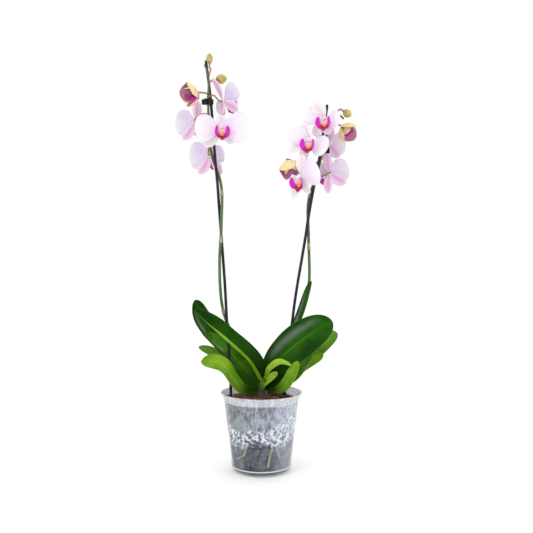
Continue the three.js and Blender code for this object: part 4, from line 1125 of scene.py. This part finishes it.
def lip_lobes(name, bloom, finishes, settings):
    """The lip: two ear-shaped side lobes, the middle lobe, the pale throat and the callus."""
    bm = new_mesh()
    thick = settings.petal / MM
    for x in (1, -1):
        ear = blade_surface([(x * 1.4, -12.8, 6), (x * 6, -13.8, 9), (x * 8.8, -8, 11.5), (x * 7.2, 0, 12.5)],
                            [(0, -x, 0), (0.8, -0.3 * x, 0.6 * x)], 8.5, (0.5, 0.55, 2.2), cup=0.25, ruffle=0.5,
                            phase=x)
        add_blade(bm, ear, 14, 8, thick, 0, 0)
    tongue = blade_surface([(0, -11.5, 5.6), (0, -16.5, 8.2), (0, -20.6, 12.2)], [(-1, 0, 0)], 11,
                           (0.5, 0.42, 1.7), cup=0.35, ruffle=0.4)
    add_blade(bm, tongue, 10, 8, thick, 1, 1)
    throat = blade_surface([(0, -2.5, 4.4), (0, -7.5, 5.2), (0, -13.5, 6.8)], [(-1, 0, 0)], 10.5, (0.6, 0.6, 2.6),
                           cup=0.3)
    add_blade(bm, throat, 8, 6, thick, 2, 2)
    for x in (1, -1):
        add_oval(bm, Vector((x * 1.25, -12.0, 7.6)), (0, -0.8, 0.4), 1.35, 4.6, 3)
        whisker = [(x * 0.8, -19.6, 11.4), (x * 1.8, -21.2, 12.6), (x * 3.0, -20.4, 13.6)]
        sweep(bm, whisker, lambda s: 0.5 - 0.2 * s, 6, 1.0, 1)
    turn = turn_to(bloom["face"], bloom["up"]).to_4x4()
    size = Matrix.Scale(HALF_LIP if name in HALF_BLOOMS else 1.0, 4)
    bmesh.ops.transform(bm, matrix=Matrix.Translation(bloom["at"]) @ turn @ size, verts=bm.verts)
    add_piece(f"{name}_lobes", bm, f"{name}_lip", finishes, rounds=1)


def build_blooms(blooms, finishes, settings):
    bright, deep = settings.lip_colour, settings.lip_deep
    lip = [lip_finish("lip_lobe", paint(240, 214, 230), bright, deep, paint(196, 50, 140)),
           lip_finish("lip_tongue", paint(222, 90, 60), paint(184, 10, 110), deep, deep),
           lip_finish("lip_throat", paint(246, 232, 238), paint(240, 168, 104), paint(246, 222, 228),
                      paint(208, 66, 130)),
           throat_finish("throat")]
    for name, bloom in blooms.items():
        tepals_and_column(name, bloom, [*finishes, column_finish("column")], settings)
        lip_lobes(name, bloom, lip, settings)


def bud_body(name, bud):
    """A closed bud: three sepals meet in shallow seams and draw to a point."""
    def shape(co):
        thirds = math.cos(3 * math.atan2(co.y, co.x))
        seam = 1 - 0.1 * max(0, thirds) ** 6 - 0.03 * thirds
        taper = seam * (1 - (0.32 if co.z > 0 else 0.06) * co.z ** 2)
        return Vector((co.x * taper, co.y * taper, co.z))
    bm = new_mesh()
    add_oval(bm, Vector(bud["at"]), bud["face"], bud["radius"], bud["length"], 0, 36, 20, shape)
    add_piece(f"{name}_body", bm, name, [bud_finish("bud_skin")])


# ---- settings ----------------------------------------------------------------------------------------
class OrchidPotSettings(bpy.types.PropertyGroup):
    """The pot, its water drops and its bark."""
    sides: IntProperty(name="Pot sides", description="Faces round the pot", default=112, min=24, max=256)
    haze: FloatProperty(name="Haze", description="How much the condensation hides", default=0.62, min=0, max=1,
                        subtype="FACTOR")
    drops: IntProperty(name="Drops", description="Drops of water inside the wall", default=620, min=0, max=1500)
    side_chips: IntProperty(name="Side chips", description="Bark chips seen through the wall", default=420, min=0)
    top_chips: IntProperty(name="Top chips", description="Bark chips on the mound", default=240, min=0)


class OrchidPlantSettings(bpy.types.PropertyGroup):
    """Roots, leaves, flower spikes and stakes."""
    root: FloatProperty(name="Root radius", description="Radius of a root in millimetres", default=1.9, min=1)
    leaf_thickness: FloatProperty(name="Leaf thickness", description="Thickness of a leaf at its middle",
                                  default=0.0015, unit="LENGTH")
    gloss: FloatProperty(name="Leaf gloss", description="Waxy coat of the dark leaves", default=0.9, min=0, max=1,
                         subtype="FACTOR")
    spike: FloatProperty(name="Spike radius", description="Radius of a flower stem", default=0.0022, unit="LENGTH")
    stake: FloatProperty(name="Stake radius", description="Radius of a support stake", default=0.0021,
                         unit="LENGTH")


class OrchidBloomSettings(bpy.types.PropertyGroup):
    """Petals, sepals and lips."""
    petal: FloatProperty(name="Petal thickness", description="Thickness of a petal at its middle", default=0.0008,
                         unit="LENGTH")
    petal_colour: FloatVectorProperty(name="Petal", description="Colour of a petal's front", subtype="COLOR",
                                      size=4, default=paint(238, 235, 240), min=0, max=1)
    flush_colour: FloatVectorProperty(name="Flush", description="Colour that a petal is flushed with",
                                      subtype="COLOR", size=4, default=paint(228, 214, 236), min=0, max=1)
    sepal_colour: FloatVectorProperty(name="Sepal back", description="Colour of a sepal's back", subtype="COLOR",
                                      size=4, default=paint(230, 202, 224), min=0, max=1)
    lip_colour: FloatVectorProperty(name="Lip", description="Colour of the lip's lobes", subtype="COLOR", size=4,
                                    default=paint(228, 30, 214), min=0, max=1)
    lip_deep: FloatVectorProperty(name="Lip edge", description="Deeper colour of the lip's veins and middle lobe",
                                  subtype="COLOR", size=4, default=paint(176, 8, 84), min=0, max=1)
    cream_colour: FloatVectorProperty(name="Half-open bloom", description="Colour of a half-open bloom's back",
                                      subtype="COLOR", size=4, default=paint(236, 222, 172), min=0, max=1)


class OrchidStageSettings(bpy.types.PropertyGroup):
    """Floor, lights and camera."""
    brightness: FloatProperty(name="Brightness", description="Strength of the white surroundings", default=1.0,
                              min=0)
    lens: FloatProperty(name="Lens", description="Focal length in millimetres", default=50, min=10)


# ---- what builds the pieces --------------------------------------------------------------------------
class OrchidBuilder:
    """Shared by the operators that build pieces."""
    bl_options = {"REGISTER", "UNDO"}


class ORCHID_OT_pot(OrchidBuilder, bpy.types.Operator):
    """Build the clear pot and the drops of water inside it"""
    bl_idname = "orchid.pot"
    bl_label = "Pot"

    def execute(self, context):
        pot_wall(context.scene.orchid_pot)
        pot_drops(context.scene.orchid_pot)
        return {"FINISHED"}


class ORCHID_OT_bark(OrchidBuilder, bpy.types.Operator):
    """Fill the pot with bark"""
    bl_idname = "orchid.bark"
    bl_label = "Bark"

    def execute(self, context):
        settings = context.scene.orchid_pot
        lines = [root_line(root) for root in ROOTS]
        bark_body()
        side_chips(settings, [line.at(share / 20) for line in lines for share in range(7, 21)])
        top_chips(settings)
        return {"FINISHED"}


class ORCHID_OT_crown(OrchidBuilder, bpy.types.Operator):
    """Grow the short stem and the roots"""
    bl_idname = "orchid.crown"
    bl_label = "Crown and roots"

    def execute(self, context):
        crown_and_roots(context.scene.orchid_plant)
        return {"FINISHED"}


class ORCHID_OT_leaves(OrchidBuilder, bpy.types.Operator):
    """Grow the leaves"""
    bl_idname = "orchid.leaves"
    bl_label = "Leaves"

    def execute(self, context):
        for i, (name, leaf) in enumerate(LEAVES.items()):
            leaf_blade(name, leaf, context.scene.orchid_plant, 1.3 * i)
        return {"FINISHED"}


class ORCHID_OT_spikes(OrchidBuilder, bpy.types.Operator):
    """Grow the flower spikes with their bloom stalks"""
    bl_idname = "orchid.spikes"
    bl_label = "Flower spikes"

    def execute(self, context):
        for side, spray in SPRAYS.items():
            flower_spike(side, spray, context.scene.orchid_plant)
        return {"FINISHED"}


class ORCHID_OT_supports(OrchidBuilder, bpy.types.Operator):
    """Set the support stakes and their clips"""
    bl_idname = "orchid.supports"
    bl_label = "Stakes and clips"

    def execute(self, context):
        for side, spray in SPRAYS.items():
            support_stake(side, spray, context.scene.orchid_plant)
            stem_clip(side, *CLIPS[side])
        return {"FINISHED"}


class ORCHID_OT_blooms(OrchidBuilder, bpy.types.Operator):
    """Open the blooms: petals, sepals, column and lip"""
    bl_idname = "orchid.blooms"
    bl_label = "Open blooms"

    def execute(self, context):
        settings = context.scene.orchid_bloom
        magenta, mauve = paint(206, 110, 186), paint(196, 110, 160)
        white, flush = settings.petal_colour, settings.flush_colour
        finishes = [petal_finish("petal_front", white, flush, magenta, 0.24),
                    # the petals' backs: a greyer copy of the front colours, darkened as painted shade
                    petal_finish("petal_back", paint(226, 222, 233), paint(204, 188, 224), mauve, 0.18),
                    sepal_finish("sepal_front", paint(240, 232, 236), paint(226, 206, 212), mauve, white),
                    sepal_finish("sepal_back", settings.sepal_colour, paint(212, 146, 202), mauve,
                                 paint(238, 218, 234))]
        build_blooms(BLOOMS, finishes, settings)
        return {"FINISHED"}


class ORCHID_OT_half_blooms(OrchidBuilder, bpy.types.Operator):
    """Cup the half-open blooms"""
    bl_idname = "orchid.half_blooms"
    bl_label = "Half-open blooms"

    def execute(self, context):
        settings = context.scene.orchid_bloom
        peach, green, wine, edge = (paint(238, 198, 148), paint(206, 204, 122), paint(160, 20, 108),
                                    paint(238, 226, 186))
        outside = hood_finish("hood_outside", settings.cream_colour, peach, green, paint(222, 196, 134))
        finishes = [hood_inside_finish("hood_petal_inside", wine, paint(206, 130, 180), edge), outside,
                    hood_inside_finish("hood_sepal_inside", wine, paint(214, 156, 190), edge), outside]
        build_blooms(HALF_BLOOMS, finishes, settings)
        return {"FINISHED"}


class ORCHID_OT_buds(OrchidBuilder, bpy.types.Operator):
    """Shape the closed buds"""
    bl_idname = "orchid.buds"
    bl_label = "Buds"

    def execute(self, context):
        for name, bud in BUDS.items():
            bud_body(name, bud)
        return {"FINISHED"}


LIGHTS = {  # where each disc stands, how wide it is and its power; all aim at the plant's middle
    "key_light": ((-1.3, -1.5, 1.7), 1.0, 9), "side_light": ((1.6, -0.9, 1.0), 1.2, 3.5),
    "back_light": ((0.5, 1.7, 1.4), 1.2, 4),
}
PLANT_MIDDLE = Vector((0, 0, 0.35))
CAMERA_PLACE, CAMERA_TILT, SENSOR = (0.00752, -1.083, 0.325), 1.384, 36


def add_light(name, spot, size, power):
    light = bpy.data.lights.new(name, "AREA")
    light.shape, light.size, light.energy = "DISK", size, power
    lamp = bpy.data.objects.new(name, light)
    lamp.location = spot
    lamp.rotation_euler = (PLANT_MIDDLE - Vector(spot)).to_track_quat("-Z", "Y").to_euler()
    bpy.context.scene.collection.objects.link(lamp)


class ORCHID_OT_stage(OrchidBuilder, bpy.types.Operator):
    """Set the pale floor, the soft lights and the camera"""
    bl_idname = "orchid.stage"
    bl_label = "Stage"

    def execute(self, context):
        settings = context.scene.orchid_stage
        bm = new_mesh()
        bmesh.ops.create_grid(bm, x_segments=4, y_segments=4, size=8, calc_uvs=True)
        floor = plain_object("studio_floor", bm)
        floor.data.materials.append(floor_finish("studio_floor"))
        for name, (spot, size, power) in LIGHTS.items():
            add_light(name, spot, size, power)
        world = bpy.data.worlds.new("white_surroundings")
        world.use_nodes = True
        backdrop = world.node_tree.nodes["Background"]
        backdrop.inputs["Color"].default_value = (1, 1, 1, 1)
        backdrop.inputs["Strength"].default_value = settings.brightness
        context.scene.world = world
        context.scene.view_settings.view_transform = "Standard"
        camera = bpy.data.objects.new("camera", bpy.data.cameras.new("camera"))
        camera.data.lens, camera.data.sensor_width = settings.lens, SENSOR
        camera.location = CAMERA_PLACE
        camera.rotation_euler = (math.radians(90 - CAMERA_TILT), 0, 0)
        context.scene.collection.objects.link(camera)
        context.scene.camera = camera
        return {"FINISHED"}


class ORCHID_PT_panel(bpy.types.Panel):
    """The orchid's pieces, in the order in which they are built"""
    bl_idname = "ORCHID_PT_panel"
    bl_label = "Potted orchid"
    bl_space_type = "VIEW_3D"
    bl_region_type = "UI"
    bl_category = "Orchid"

    def draw(self, context):
        for group in GROUPS:
            settings = getattr(context.scene, group)
            box = self.layout.box()
            for name in settings.__annotations__:
                box.prop(settings, name)
        for operator in OPERATORS:
            self.layout.operator(operator.bl_idname)


OPERATORS = (ORCHID_OT_pot, ORCHID_OT_bark, ORCHID_OT_crown, ORCHID_OT_leaves, ORCHID_OT_spikes,
             ORCHID_OT_supports, ORCHID_OT_blooms, ORCHID_OT_half_blooms, ORCHID_OT_buds, ORCHID_OT_stage)
GROUPS = {"orchid_pot": OrchidPotSettings, "orchid_plant": OrchidPlantSettings,
          "orchid_bloom": OrchidBloomSettings, "orchid_stage": OrchidStageSettings}


def register():
    for made in (*GROUPS.values(), *OPERATORS, ORCHID_PT_panel):
        bpy.utils.register_class(made)
    for name, group in GROUPS.items():
        setattr(bpy.types.Scene, name, PointerProperty(type=group))


def unregister():
    for name in GROUPS:
        delattr(bpy.types.Scene, name)
    for made in reversed((*GROUPS.values(), *OPERATORS, ORCHID_PT_panel)):
        bpy.utils.unregister_class(made)


def main():
    register()
    for operator in OPERATORS:
        getattr(bpy.ops.orchid, operator.bl_idname.split(".")[1])()
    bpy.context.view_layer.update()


if __name__ == "__main__":
    main()
